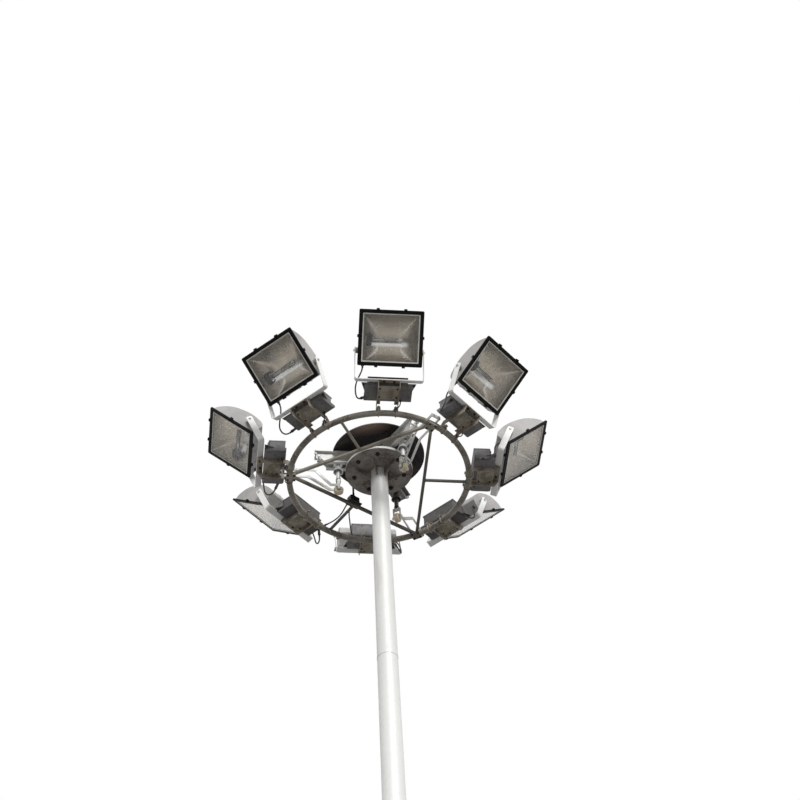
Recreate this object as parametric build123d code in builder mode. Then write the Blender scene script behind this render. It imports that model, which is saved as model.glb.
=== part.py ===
from build123d import *
import os
from math import cos, hypot, pi, radians, sin, tan

# High mast floodlight tower. Millimetres, +Z up, origin at the centre of the base
# flange's underside. A tapered steel mast carries a head with three rope arms, and a
# round carriage with eight floodlights that a winch lowers down the mast.

# Driving dimensions: mast
RING_Z = 19920.0            # height of the carriage ring's centre line
MAST_TOP_R, MAST_BASE_R = 75.0, 190.0
SHELL_T = 5.0               # wall of both mast sections
FLANGE_R, FLANGE_T = 325.0, 30.0
BASE_BOLT_PCD, BASE_BOLT_COUNT, BASE_BOLT_HOLE_R = 540.0, 8, 16.5
CABLE_HOLE_R = 100.0
SLIP_LOW, SLIP_HIGH = 10000.0, 10600.0   # the upper section sleeves over the lower one
SLIP_GAP = 0.5
GAP = 0.2                   # air left between welded pieces that share a curved face
DOOR_LOW, DOOR_HIGH, DOOR_HALF = 620.0, 1180.0, 75.0
DOOR_LAP, DOOR_T, DOOR_SEAL = 14.0, 4.0, 0.3

# Driving dimensions: head, with heights from the ring's centre line
PLATE_Z = RING_Z + 81.0     # underside of the head plate
PLATE_R, PLATE_T, PLATE_BORE_R = 300.0, 26.0, 50.0
DISC_R, DISC_T = 235.0, 14.0
ARM_ANGLES = [60.0, 180.0, 300.0]
ARM_LOW, ARM_HIGH = RING_Z + 136.0, RING_Z + 276.0
ARM_GAP, WEB_T = 46.0, 7.0
ARM_FLANGE_W, ARM_FLANGE_T = 35.0, 9.0
ARM_ROOT_R, ARM_END_LOW_R, ARM_END_HIGH_R = 62.0, 463.0, 575.0
ROPE_R, INNER_ROPE_R = 366.0, 30.0       # both falls of each lifting rope
ROPE_D = 10.0
SHEAVE_Z, SHEAVE_PITCH_R, SHEAVE_R, SHEAVE_W = RING_Z + 256.0, 60.0, 70.0, 26.0
AXLE_R = 10.0
HOOD_R, HOOD_T = 415.0, 4.0
DOME_LOW, DOME_TOP = RING_Z + 285.0, RING_Z + 445.0
CABLE_R, CABLE_INNER_R, CABLE_D = 400.0, 30.0, 18.0   # both falls of the supply cable
CABLE_ANGLE = 120.0

# Driving dimensions: carriage
RING_R, RING_TUBE_R = 800.0, 27.0
LAMP_COUNT = 8
CHORD, TIE = 25.0, 20.0     # square bars of the triangle and of its ties
WHEEL_Z, WHEEL_R, WHEEL_W, WHEEL_AXLE_R = RING_Z - 170.0, 43.0, 46.0, 8.0
PIN_R, PIN_LOW, PIN_HIGH = 20.0, RING_Z - 61.0, RING_Z + 120.0

# Driving dimensions: gear and floodlight, in the plane of their own radius
TRAY_IN_R, TRAY_OUT_R, TRAY_HALF = 838.0, 1032.0, 207.0
TRAY_LOW, TRAY_HIGH = RING_Z + 94.0, RING_Z + 134.0
BOX_IN_R, BOX_OUT_R, BOX_HALF, BOX_HIGH = 845.0, 990.0, 175.0, RING_Z + 254.0
BRACKET_HALF, BRACKET_LOW, SHEET_T = 96.0, RING_Z + 48.0, 5.0
FACE_R, FACE_Z = 1327.0, RING_Z + 388.0  # centre of the front glass
FACE_TILT = 50.5            # how far the front looks below the horizontal
FRAME_W, FRAME_H, FRAME_BORDER = 565.0, 490.0, 23.0
HOUSING_W, HOUSING_T = 524.0, 3.0
PIVOT_R, PIVOT_Z = 1168.0, RING_Z + 392.0
YOKE_W, YOKE_T, YOKE_HALF = 57.0, 6.0, 300.0
YOKE_BASE_R, YOKE_BASE_Z, YOKE_LEAN = 1064.0, RING_Z + 125.0, 21.5
LEAD_D, BOX_LEAD_D = 13.0, 10.0

os.makedirs("parts", exist_ok=True)


def save(piece, name):
    """Label a finished piece and write it under its node name."""
    piece.label = name
    export_step(piece, f"parts/{name}.step")


def radial_plane(angle, r=0.0, z=0.0):
    """Plane through the mast's axis at an angle: x runs outwards, y runs up."""
    a = radians(angle)
    return Plane(origin=(r * cos(a), r * sin(a), z), x_dir=(cos(a), sin(a), 0),
                 z_dir=(sin(a), -cos(a), 0))


def cross_plane(angle, r, z=0.0):
    """Plane square to a radius: x runs round the mast, y runs up."""
    a = radians(angle)
    return Plane(origin=(r * cos(a), r * sin(a), z), x_dir=(-sin(a), cos(a), 0),
                 z_dir=(cos(a), sin(a), 0))


def spot(angle, r, t, z):
    """Point at a radius, a distance round to the left of it, and a height over the ring."""
    a = radians(angle)
    return Vector(r * cos(a) - t * sin(a), r * sin(a) + t * cos(a), RING_Z + z)


def repeated(piece, angles):
    """One node from copies of a piece that was made on the +X radius."""
    with BuildPart() as row:
        for angle in angles:
            add(piece.part, rotation=(0, 0, angle))
    return row.part


def cable(points, diameter):
    """Round cable through a route: each corner's arc takes 0.45 of its shorter run."""
    runs = [b - a for a, b in zip(points, points[1:])]
    radii = [0.45 * min(u.length, v.length) / tan(radians(u.get_angle(v) / 2))
             for u, v in zip(runs, runs[1:])]
    with BuildPart() as tube:
        with BuildLine() as path:
            FilletPolyline(*points, radius=radii)
        with BuildSketch(Plane(origin=path.line @ 0, z_dir=path.line % 0)):
            Circle(diameter / 2)
        sweep()
    length = path.wires()[0].length
    error = tube.part.volume / (length * pi * diameter ** 2 / 4) - 1
    print(f"cable {diameter:.0f}: {length:.0f} long, tightest arc {min(radii):.0f}, volume {error:+.4f}")
    return tube


def mast_r(z):
    """Outer radius of the upper section's cone, carried on down to the ground."""
    return MAST_BASE_R + (MAST_TOP_R - MAST_BASE_R) * z / PLATE_Z


def lower_r(z):
    """Outer radius of the lower section, which slips inside the upper one."""
    return mast_r(z) - SHELL_T - SLIP_GAP


def cone(low, high, radius, wall=None, spread=0.0):
    """Half section of a tapered tube, or of the solid cone inside it when it has no wall."""
    inner_low = radius(low) - wall if wall else 0
    inner_high = radius(high) - wall if wall else 0
    return Polyline((radius(low) + spread, low), (radius(high) + spread, high),
                    (inner_high, high), (inner_low, low), close=True)


# Mast: base flange with gussets, two tapered sections, winch door
GUSSET_T, GUSSET_H, GUSSET_R, GUSSET_TOE = 12.0, 240.0, 295.0, 30.0
with BuildPart() as base_flange:
    with BuildSketch():
        Circle(FLANGE_R)
        Circle(CABLE_HOLE_R, mode=Mode.SUBTRACT)
        with PolarLocations(BASE_BOLT_PCD / 2, BASE_BOLT_COUNT):
            Circle(BASE_BOLT_HOLE_R, mode=Mode.SUBTRACT)
    extrude(amount=FLANGE_T)
    for k in range(BASE_BOLT_COUNT):
        with BuildSketch(radial_plane((k + 0.5) * 360 / BASE_BOLT_COUNT)):
            with BuildLine():
                Polyline((lower_r(0) - SHELL_T, FLANGE_T), (GUSSET_R, FLANGE_T),
                         (GUSSET_R, FLANGE_T + GUSSET_TOE),
                         (lower_r(0) + GUSSET_T, FLANGE_T + GUSSET_H),
                         (lower_r(0) - SHELL_T, FLANGE_T + GUSSET_H), close=True)
            make_face()
        extrude(amount=GUSSET_T / 2, both=True)
    with BuildSketch(Plane.XZ):
        with BuildLine():
            cone(FLANGE_T, FLANGE_T + 2 * GUSSET_H, lower_r, spread=GAP)
        make_face()
    revolve(axis=Axis.Z, mode=Mode.SUBTRACT)
save(base_flange.part, "base_flange")

DOOR_MID = (DOOR_LOW + DOOR_HIGH) / 2
with BuildPart() as lower_section:
    with BuildSketch(Plane.XZ):
        with BuildLine():
            cone(FLANGE_T, SLIP_HIGH, lower_r, SHELL_T)
        make_face()
    revolve(axis=Axis.Z)
    with BuildSketch(Plane.XZ):
        with Locations((0, DOOR_MID)):
            RectangleRounded(2 * DOOR_HALF, DOOR_HIGH - DOOR_LOW, 40)
    extrude(amount=MAST_BASE_R + 50, mode=Mode.SUBTRACT)
save(lower_section.part, "lower_section")

with BuildPart() as upper_section:
    with BuildSketch(Plane.XZ):
        with BuildLine():
            cone(SLIP_LOW, PLATE_Z, mast_r, SHELL_T)
        make_face()
    revolve(axis=Axis.Z)
save(upper_section.part, "upper_section")

# The door is a rolled plate that laps the opening, with two locks and two hinge barrels.
LOCK_R, LOCK_REACH = 13.0, 12.0
HINGE_R, HINGE_L, HINGE_ANGLE = 8.0, 60.0, -117.0
with BuildPart() as winch_door:
    with BuildSketch(Plane.XZ):
        with Locations((0, DOOR_MID)):
            RectangleRounded(2 * (DOOR_HALF + DOOR_LAP), DOOR_HIGH - DOOR_LOW + 2 * DOOR_LAP, 50)
    extrude(amount=MAST_BASE_R + 50)
    with BuildSketch(Plane.XZ):
        with BuildLine():
            cone(0, 2 * DOOR_HIGH, lower_r, spread=DOOR_T + DOOR_SEAL)
        make_face()
    revolve(axis=Axis.Z, mode=Mode.INTERSECT)
    with BuildSketch(Plane.XZ.offset(lower_r(DOOR_MID) - SHELL_T)):
        with Locations((DOOR_HALF - 30, DOOR_MID - 200), (DOOR_HALF - 30, DOOR_MID + 200)):
            Circle(LOCK_R)
    extrude(amount=SHELL_T + DOOR_T + LOCK_REACH)
    with BuildSketch(Plane.XZ):
        with BuildLine():
            cone(0, 2 * DOOR_HIGH, lower_r, spread=DOOR_SEAL)
        make_face()
    revolve(axis=Axis.Z, mode=Mode.SUBTRACT)
    for height in (DOOR_MID - 200, DOOR_MID + 200):
        with BuildSketch(Plane.XY.offset(height - HINGE_L / 2)):
            with PolarLocations(lower_r(height) + HINGE_R + 2, 1, start_angle=HINGE_ANGLE):
                Circle(HINGE_R)
        extrude(amount=HINGE_L)
save(winch_door.part, "winch_door")

# Head: round plate with ribs on the mast's top
RIB_H, RIB_T, RIB_R, RIB_TOE = 105.0, 10.0, 205.0, 12.0
RIB_ANGLES = [7.0 + 60 * k for k in range(6)]
with BuildPart() as head_plate:
    with BuildSketch(Plane.XY.offset(PLATE_Z)):
        Circle(PLATE_R)
        Circle(PLATE_BORE_R, mode=Mode.SUBTRACT)
    extrude(amount=PLATE_T)
    for angle in RIB_ANGLES:
        with BuildSketch(radial_plane(angle, z=PLATE_Z)):
            with BuildLine():
                Polyline((MAST_TOP_R - 2, 0), (RIB_R, 0), (RIB_R, -RIB_TOE),
                         (MAST_TOP_R + 10, -RIB_H), (MAST_TOP_R - 2, -RIB_H), close=True)
            make_face()
        extrude(amount=RIB_T / 2, both=True)
    with BuildSketch(Plane.XZ):
        with BuildLine():
            cone(PLATE_Z - 2 * RIB_H, PLATE_Z, mast_r, spread=GAP)
        make_face()
    revolve(axis=Axis.Z, mode=Mode.SUBTRACT)
save(head_plate.part, "head_plate")

# Rope arm: two channels back to back, with their ends cut on the slant, stand on a pad.
# Two sheave axles and two spacer bolts pass through both webs.
HEAD_TOP = PLATE_Z + PLATE_T
OUTER_SHEAVE_R = ROPE_R - SHEAVE_PITCH_R
INNER_SHEAVE_R = INNER_ROPE_R + SHEAVE_PITCH_R
ARM_MID = (ARM_LOW + ARM_HIGH) / 2
ARM_H = ARM_HIGH - ARM_LOW
ARM_OUTER_HALF = ARM_GAP / 2 + ARM_FLANGE_W
PAD_END_R = 225.0
AXLE_STUB, BOLT_R = 8.0, 7.0
with BuildPart() as rope_arm:
    for side in (-1, 1):
        with BuildSketch(cross_plane(0, ARM_ROOT_R, ARM_MID)):
            with Locations((side * (ARM_GAP + WEB_T) / 2, 0)):
                Rectangle(WEB_T, ARM_H)
            with Locations((side * (ARM_GAP + ARM_FLANGE_W) / 2, (ARM_H - ARM_FLANGE_T) / 2),
                           (side * (ARM_GAP + ARM_FLANGE_W) / 2, -(ARM_H - ARM_FLANGE_T) / 2)):
                Rectangle(ARM_FLANGE_W, ARM_FLANGE_T)
        extrude(amount=ARM_END_HIGH_R - ARM_ROOT_R)
    with BuildSketch(Plane.XZ):
        with BuildLine():
            Polyline((ARM_END_LOW_R, ARM_LOW), (ARM_END_HIGH_R, ARM_HIGH),
                     (ARM_END_HIGH_R + 10, ARM_LOW), close=True)
        make_face()
    extrude(amount=ARM_OUTER_HALF + 1, both=True, mode=Mode.SUBTRACT)
    with BuildSketch(Plane.XY.offset(HEAD_TOP + DISC_T)):
        with Locations(((ARM_ROOT_R + PAD_END_R) / 2, 0)):
            Rectangle(PAD_END_R - ARM_ROOT_R, 2 * ARM_OUTER_HALF)
    extrude(amount=ARM_LOW - HEAD_TOP - DISC_T)
    with BuildSketch(Plane.XZ):
        with Locations((OUTER_SHEAVE_R, SHEAVE_Z), (INNER_SHEAVE_R, SHEAVE_Z)):
            Circle(AXLE_R)
    extrude(amount=ARM_GAP / 2 + WEB_T + AXLE_STUB, both=True)
    with BuildSketch(Plane.XZ):
        with Locations((538, RING_Z + 222), (564, ARM_HIGH - 22), (440, ARM_LOW + 40)):
            Circle(BOLT_R)
    extrude(amount=ARM_GAP / 2 + WEB_T + AXLE_STUB, both=True)

# The supply cable crosses the head between two plates on a leg, over a quarter circle of
# rollers at each fall.
GUIDE_PITCH, GUIDE_Z = 70.0, RING_Z + 232.0
GUIDE_OUT_R, GUIDE_IN_R = CABLE_R - GUIDE_PITCH, CABLE_INNER_R + GUIDE_PITCH
GUIDE_TOP = GUIDE_Z + GUIDE_PITCH
GUIDE_LEG_IN_R, GUIDE_LEG_OUT_R = 150.0, 226.0
ROLLER_R, ROLLER_HALF, GUIDE_PLATE_T = 11.0, 16.0, 4.0
ROLLER_PITCH = GUIDE_PITCH - CABLE_D / 2 - ROLLER_R - 0.3
with BuildPart() as cable_guide:
    for side in (-1, 1):
        with BuildSketch(Plane.XZ.offset(side * (ROLLER_HALF + GUIDE_PLATE_T / 2))):
            with BuildLine():
                Polyline((GUIDE_IN_R, GUIDE_Z), (GUIDE_IN_R, GUIDE_TOP), (GUIDE_OUT_R, GUIDE_TOP),
                         (CABLE_R - 20, GUIDE_Z + 50), (CABLE_R - 6, GUIDE_Z),
                         (CABLE_R - 20, GUIDE_Z - 24), (GUIDE_LEG_OUT_R, HEAD_TOP + DISC_T),
                         (GUIDE_LEG_IN_R, HEAD_TOP + DISC_T), (GUIDE_LEG_IN_R, GUIDE_Z), close=True)
            make_face()
        extrude(amount=GUIDE_PLATE_T / 2, both=True)
    with BuildSketch(Plane.XZ):
        with Locations((GUIDE_OUT_R, GUIDE_Z)):
            with PolarLocations(ROLLER_PITCH, 4, start_angle=2, angular_range=88, endpoint=True):
                Circle(ROLLER_R)
        with Locations((GUIDE_IN_R + 20, GUIDE_Z + ROLLER_PITCH),
                       (GUIDE_IN_R + 100, GUIDE_Z + ROLLER_PITCH)):
            Circle(ROLLER_R)
    extrude(amount=ROLLER_HALF, both=True)

with BuildPart() as head_arms:
    with BuildSketch(Plane.XY.offset(HEAD_TOP)):
        Circle(DISC_R)
        Circle(PLATE_BORE_R, mode=Mode.SUBTRACT)
    extrude(amount=DISC_T)
    for angle in ARM_ANGLES:
        add(rope_arm.part, rotation=(0, 0, angle))
    add(cable_guide.part, rotation=(0, 0, CABLE_ANGLE))
save(head_arms.part, "head_arms")

# Bell socket: a cone that opens downwards and centres the docking pin, on a sleeve that
# two plates hold between the webs.
BELL_MOUTH_R, BELL_NECK_R, BELL_T = 45.0, 21.0, 4.0
BELL_LOW, BELL_FLARE_Z = RING_Z + 60.0, RING_Z + 106.0
BELL_NECK_Z, BELL_HIGH = RING_Z + 130.0, RING_Z + 194.0
with BuildPart() as bell_socket:
    with BuildSketch(Plane(origin=(ROPE_R, 0, 0), x_dir=(1, 0, 0), z_dir=(0, -1, 0))):
        with BuildLine():
            Polyline((BELL_MOUTH_R, BELL_LOW), (BELL_MOUTH_R - BELL_T - 1, BELL_LOW),
                     (BELL_NECK_R + 7 - BELL_T, BELL_FLARE_Z), (BELL_NECK_R - BELL_T, BELL_NECK_Z),
                     (BELL_NECK_R - BELL_T, BELL_HIGH), (BELL_NECK_R, BELL_HIGH),
                     (BELL_NECK_R, BELL_NECK_Z), (BELL_NECK_R + 7, BELL_FLARE_Z), close=True)
        make_face()
    revolve(axis=Axis((ROPE_R, 0, 0), (0, 0, 1)))
    for height in (ARM_LOW + 8, BELL_HIGH - 14):
        with BuildSketch(Plane.XY.offset(height)):
            with Locations((ROPE_R, 0)):
                Rectangle(76, ARM_GAP)
                Circle(BELL_NECK_R - BELL_T, mode=Mode.SUBTRACT)
        extrude(amount=6)
save(repeated(bell_socket, ARM_ANGLES), "bell_sockets")

with BuildPart() as sheave_pair:
    for r in (OUTER_SHEAVE_R, INNER_SHEAVE_R):
        with BuildSketch(radial_plane(0, r, SHEAVE_Z)):
            Circle(SHEAVE_R)
            Circle(AXLE_R + GAP, mode=Mode.SUBTRACT)
        extrude(amount=SHEAVE_W / 2, both=True)
        with BuildSketch(Plane.XY.offset(SHEAVE_Z)):
            with Locations((r + SHEAVE_PITCH_R, 0)):
                Circle(ROPE_D / 2 + 0.5)
            with Locations((r + SHEAVE_R, 0)):
                Rectangle(2 * (SHEAVE_R - SHEAVE_PITCH_R), ROPE_D + 1)
        revolve(axis=Axis((r, 0, SHEAVE_Z), (0, 1, 0)), mode=Mode.SUBTRACT)
save(repeated(sheave_pair, ARM_ANGLES), "sheaves")

# Ropes and supply cable where they cross the head and start down inside the mast
INSIDE_Z = PLATE_Z - 200
with BuildPart() as head_rope:
    with BuildLine(Plane.XZ) as rope_path:
        wrap_out = CenterArc((OUTER_SHEAVE_R, SHEAVE_Z), SHEAVE_PITCH_R, 0.5, 89.5)
        Line(wrap_out @ 1, (INNER_SHEAVE_R, SHEAVE_Z + SHEAVE_PITCH_R))
        wrap_in = CenterArc((INNER_SHEAVE_R, SHEAVE_Z), SHEAVE_PITCH_R, 90, 90)
        Line(wrap_in @ 1, (INNER_ROPE_R, INSIDE_Z))
    with BuildSketch(Plane(origin=wrap_out @ 0, z_dir=wrap_out % 0)):
        Circle(ROPE_D / 2)
    sweep()
save(repeated(head_rope, ARM_ANGLES), "head_ropes")

with BuildPart() as head_cable:
    with BuildLine(radial_plane(CABLE_ANGLE)):
        cable_out = CenterArc((GUIDE_OUT_R, GUIDE_Z), GUIDE_PITCH, 0.5, 89.5)
        Line(cable_out @ 1, (GUIDE_IN_R, GUIDE_TOP))
        cable_in = CenterArc((GUIDE_IN_R, GUIDE_Z), GUIDE_PITCH, 90, 90)
        Line(cable_in @ 1, (CABLE_INNER_R, INSIDE_Z))
    with BuildSketch(Plane(origin=cable_out @ 0, z_dir=cable_out % 0)):
        Circle(CABLE_D / 2)
    sweep()
save(head_cable.part, "head_cable")

# Rain hood: a shallow dome of thin sheet with a rolled edge, on posts that stand on the arms
DOME_SPHERE_R = (HOOD_R ** 2 + (DOME_TOP - DOME_LOW) ** 2) / (2 * (DOME_TOP - DOME_LOW))
HOOD_LOW = ARM_HIGH + 1
POST_R, POST_SPOT, POST_H = 6.0, 210.0, 119.0
with BuildPart() as rain_hood:
    with BuildSketch(Plane.XY.offset(HOOD_LOW)):
        Circle(HOOD_R)
        Circle(HOOD_R - HOOD_T, mode=Mode.SUBTRACT)
    extrude(amount=DOME_LOW - HOOD_LOW)
    with BuildSketch(Plane.XZ):
        with Locations((0, DOME_TOP - DOME_SPHERE_R)):
            Circle(DOME_SPHERE_R)
            Circle(DOME_SPHERE_R - HOOD_T, mode=Mode.SUBTRACT)
        with Locations((HOOD_R / 2, DOME_LOW + HOOD_R / 2 - HOOD_T)):
            Rectangle(HOOD_R, HOOD_R, mode=Mode.INTERSECT)
    revolve(axis=Axis.Z)
    for angle in ARM_ANGLES:
        with BuildSketch(cross_plane(angle, POST_SPOT, ARM_HIGH + POST_H / 2)):
            with Locations((-ARM_GAP, 0), (ARM_GAP, 0)):
                Rectangle(2 * POST_R, POST_H)
        extrude(amount=POST_R, both=True)
save(rain_hood.part, "rain_hood")

# Carriage: ring tube, triangle of chord bars with ties
with BuildPart() as ring_tube:
    with BuildSketch(Plane.XZ):
        with Locations((RING_R, RING_Z)):
            Circle(RING_TUBE_R)
    revolve(axis=Axis.Z)

CHORD_R = RING_R / 2
CHORD_HALF = RING_R * sin(radians(60)) - 14
CORNER_PLATE_W, CORNER_PLATE_T = 84.0, 20.0
with BuildPart() as ring_bars:
    for angle in (0, 120, 240):
        with BuildSketch(radial_plane(angle, CHORD_R, RING_Z)):
            Rectangle(CHORD, CHORD)
        extrude(amount=CHORD_HALF, both=True)
        with BuildSketch(cross_plane(angle, CHORD_R, RING_Z)):
            Rectangle(TIE, TIE)
        extrude(amount=RING_R - CHORD_R)
    for angle in ARM_ANGLES:
        with BuildSketch(radial_plane(angle, RING_R - 12, RING_Z - RING_TUBE_R + 4)):
            Rectangle(CORNER_PLATE_W, CORNER_PLATE_T)
        extrude(amount=CORNER_PLATE_W / 2, both=True)
    add(ring_tube.part, mode=Mode.SUBTRACT)
save(ring_bars.part, "ring_bars")

# Suspension arm: two flat bars cross the ring and the chords, joined by a plate outside
# the ring. Each bends down at its own radius to the fork of the docking pin and wheel.
BAR_T, BAR_H, BAR_Z = 8.0, 26.0, 34.0
BAR_OUT_T, BAR_IN_T = 42.0, 31.0
BAR_END_R, FOOT_R, FOOT_Z = 862.0, 436.0, -132.0
BAR_LOW, BAR_HIGH = RING_Z + BAR_Z - BAR_H / 2, RING_Z + BAR_Z + BAR_H / 2
FOOT_LOW, FOOT_HIGH = RING_Z + FOOT_Z - BAR_H / 2, RING_Z + FOOT_Z + BAR_H / 2
BEND_RADII = {-1: 630.0, 1: 575.0}
FORK_W, FORK_HIGH = 24.0, -66.0
with BuildPart() as suspension_arm:
    for side, bend_r in BEND_RADII.items():
        plan = [(BAR_END_R, BAR_OUT_T), (bend_r, BAR_OUT_T), (FOOT_R, BAR_IN_T),
                (ROPE_R - 16, BAR_IN_T)]
        with BuildSketch(Plane.XY.offset(RING_Z)):
            with BuildLine():
                Polyline(*[(r, side * (t + BAR_T / 2)) for r, t in plan],
                         *[(r, side * (t - BAR_T / 2)) for r, t in reversed(plan)], close=True)
            make_face()
        bar = extrude(amount=300, both=True, mode=Mode.PRIVATE)
        with BuildSketch(Plane.XZ):
            with BuildLine():
                Polyline((BAR_END_R, BAR_LOW), (BAR_END_R, BAR_HIGH), (bend_r - 9, BAR_HIGH),
                         (FOOT_R - 7, FOOT_HIGH), (ROPE_R - 12, FOOT_HIGH), (ROPE_R - 12, FOOT_LOW),
                         (FOOT_R + 9, FOOT_LOW), (bend_r + 7, BAR_LOW), close=True)
            make_face()
        side_view = extrude(amount=100, both=True, mode=Mode.PRIVATE)
        add(bar & side_view)
    with BuildSketch(cross_plane(0, BAR_END_R, RING_Z + BAR_Z)):
        Rectangle(2 * BAR_OUT_T + BAR_T, BAR_H + 12)
    extrude(amount=8)
    add(ring_tube.part, mode=Mode.SUBTRACT)
    for side in (-1, 1):
        with BuildSketch(Plane.XZ.offset(side * BAR_IN_T)):
            with Locations((ROPE_R, (WHEEL_Z + RING_Z + FORK_HIGH) / 2)):
                SlotOverall(RING_Z + FORK_HIGH - WHEEL_Z + FORK_W, FORK_W, rotation=90)
            with Locations((ROPE_R, WHEEL_Z)):
                Circle(16)
        extrude(amount=BAR_T / 2, both=True)
    with BuildSketch(Plane.XY.offset(RING_Z + FORK_HIGH - 8)):
        with Locations((ROPE_R, 0)):
            Rectangle(40, 2 * BAR_IN_T)
    extrude(amount=8)
    with BuildSketch(Plane.XZ):
        with Locations((ROPE_R, WHEEL_Z)):
            Circle(WHEEL_AXLE_R)
    extrude(amount=BAR_IN_T + 12, both=True)
save(repeated(suspension_arm, ARM_ANGLES), "suspension_arms")

# Guide wheel: a nylon roller with a crowned tread and a sunk hub on each side
HUB_R, HUB_DEPTH, TREAD_CHAMFER = 20.0, 6.0, 7.0
for k, angle in enumerate(ARM_ANGLES):
    with BuildPart() as guide_wheel:
        with BuildSketch(radial_plane(angle, ROPE_R, WHEEL_Z)):
            Circle(WHEEL_R)
        extrude(amount=WHEEL_W / 2, both=True)
        chamfer(guide_wheel.edges(), length=TREAD_CHAMFER)
        for side in (-1, 1):
            hub_plane = radial_plane(angle, ROPE_R, WHEEL_Z).offset(side * (WHEEL_W - HUB_DEPTH) / 2)
            with BuildSketch(hub_plane):
                Circle(HUB_R)
            extrude(amount=HUB_DEPTH / 2, both=True, mode=Mode.SUBTRACT)
        with BuildSketch(radial_plane(angle, ROPE_R, WHEEL_Z)):
            Circle(WHEEL_AXLE_R + 0.05)
        extrude(amount=WHEEL_W, both=True, mode=Mode.SUBTRACT)
    save(guide_wheel.part, f"guide_wheel_{k + 1}")

# Docking pin: rubber buffer at its foot, a shank and a round nose that takes the rope
COLLAR_R, COLLAR_H, NOSE_R = 23.0, 28.0, 9.0
with BuildPart() as docking_pin:
    with BuildSketch(Plane(origin=(ROPE_R, 0, 0), x_dir=(1, 0, 0), z_dir=(0, -1, 0))):
        with BuildLine():
            Polyline((0, PIN_LOW - 5), (10, PIN_LOW - 5), (10, PIN_LOW), (COLLAR_R, PIN_LOW),
                     (COLLAR_R, PIN_LOW + COLLAR_H), (PIN_R, PIN_LOW + COLLAR_H + 2),
                     (PIN_R, RING_Z + 68), (PIN_R - 4, RING_Z + 90), (NOSE_R, RING_Z + 108),
                     (NOSE_R, PIN_HIGH), (0, PIN_HIGH), close=True)
        make_face()
    revolve(axis=Axis((ROPE_R, 0, 0), (0, 0, 1)))
save(repeated(docking_pin, ARM_ANGLES), "docking_pins")

with BuildPart() as lifting_ropes:
    with BuildSketch(Plane.XY.offset(PIN_HIGH)):
        with PolarLocations(ROPE_R, 3, start_angle=ARM_ANGLES[0]):
            Circle(ROPE_D / 2)
    extrude(amount=SHEAVE_Z - PIN_HIGH)
save(lifting_ropes.part, "lifting_ropes")

# Supply junction: a socket box on the middle of one chord, with glands for two cables
JUNCTION_HIGH = 108.0
JUNCTION_OUT_R = 438.0
GLAND_L, GLAND_R = 14.0, 10.0
with BuildPart() as junction:
    with BuildSketch(Plane.XY.offset(RING_Z + CHORD / 2)):
        with Locations((CHORD_R, 0)):
            RectangleRounded(84, 130, 8)
    extrude(amount=6)
    with BuildSketch(Plane.XY.offset(RING_Z + CHORD / 2 + 6)):
        with Locations((CHORD_R + 4, 0)):
            RectangleRounded(2 * (JUNCTION_OUT_R - CHORD_R - 4), 96, 8)
    extrude(amount=JUNCTION_HIGH - CHORD / 2 - 26)
    with BuildSketch(Plane.XY.offset(RING_Z + JUNCTION_HIGH - 20)):
        with Locations((CABLE_R, 0)):
            Circle(17)
    extrude(amount=20)
    with BuildSketch(cross_plane(0, JUNCTION_OUT_R, RING_Z + 60)):
        with Locations((-20, 0), (20, 0)):
            Circle(GLAND_R)
    extrude(amount=GLAND_L)
save(repeated(junction, [CABLE_ANGLE]), "supply_junction")

with BuildPart() as supply_cable:
    with BuildSketch(Plane.XY.offset(RING_Z + JUNCTION_HIGH)):
        with PolarLocations(CABLE_R, 1, start_angle=CABLE_ANGLE):
            Circle(CABLE_D / 2)
    extrude(amount=GUIDE_Z - RING_Z - JUNCTION_HIGH)
save(supply_cable.part, "supply_cable")

# Mounting bracket: folded sheet on two saddles that sit on the ring; its cheeks rise at
# the outer end to the seat of the yoke.
BRACKET_IN_R, BRACKET_OUT_R = 820.0, 1034.0
NOTCH_W, NOTCH_DEPTH = 123.0, 60.0
SADDLE_W, SADDLE_HIGH = 38.0, 33.0
lean = radians(YOKE_LEAN)
SEAT = Plane(origin=(YOKE_BASE_R, 0, YOKE_BASE_Z), x_dir=(0, 1, 0), z_dir=(cos(lean), 0, -sin(lean)))
with BuildPart() as bracket:
    with BuildSketch(Plane.XY.offset(TRAY_LOW - SHEET_T)):
        with Locations(((BRACKET_IN_R + BRACKET_OUT_R) / 2, 0)):
            Rectangle(BRACKET_OUT_R - BRACKET_IN_R, 2 * BRACKET_HALF)
        with Locations((BRACKET_IN_R, 0)):
            Rectangle(2 * NOTCH_DEPTH, NOTCH_W, mode=Mode.SUBTRACT)
    extrude(amount=SHEET_T)
    for side in (-1, 1):
        with BuildSketch(Plane.XZ.offset(side * (BRACKET_HALF - SHEET_T / 2))):
            with BuildLine():
                Polyline((RING_R - RING_TUBE_R, RING_Z + 22), (RING_R + RING_TUBE_R, RING_Z + 22),
                         (RING_R + RING_TUBE_R + 6, BRACKET_LOW), (1050, BRACKET_LOW),
                         (1088, RING_Z + 111), (1036, RING_Z + 131), (BRACKET_OUT_R, TRAY_LOW),
                         (BRACKET_IN_R, TRAY_LOW), (RING_R - RING_TUBE_R, RING_Z + 44), close=True)
            make_face()
        extrude(amount=SHEET_T / 2, both=True)
        with BuildSketch(Plane.XY.offset(RING_Z + SADDLE_HIGH)):
            with Locations((RING_R, side * (BRACKET_HALF - SADDLE_W / 2))):
                Rectangle(2 * RING_TUBE_R, SADDLE_W)
        extrude(amount=-SADDLE_HIGH / 3)
    with BuildSketch(SEAT):
        with Locations((0, -SHEET_T / 2)):
            Rectangle(2 * BRACKET_HALF, SHEET_T)
    extrude(amount=YOKE_W / 2, both=True)
    add(ring_tube.part, mode=Mode.SUBTRACT)
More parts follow.
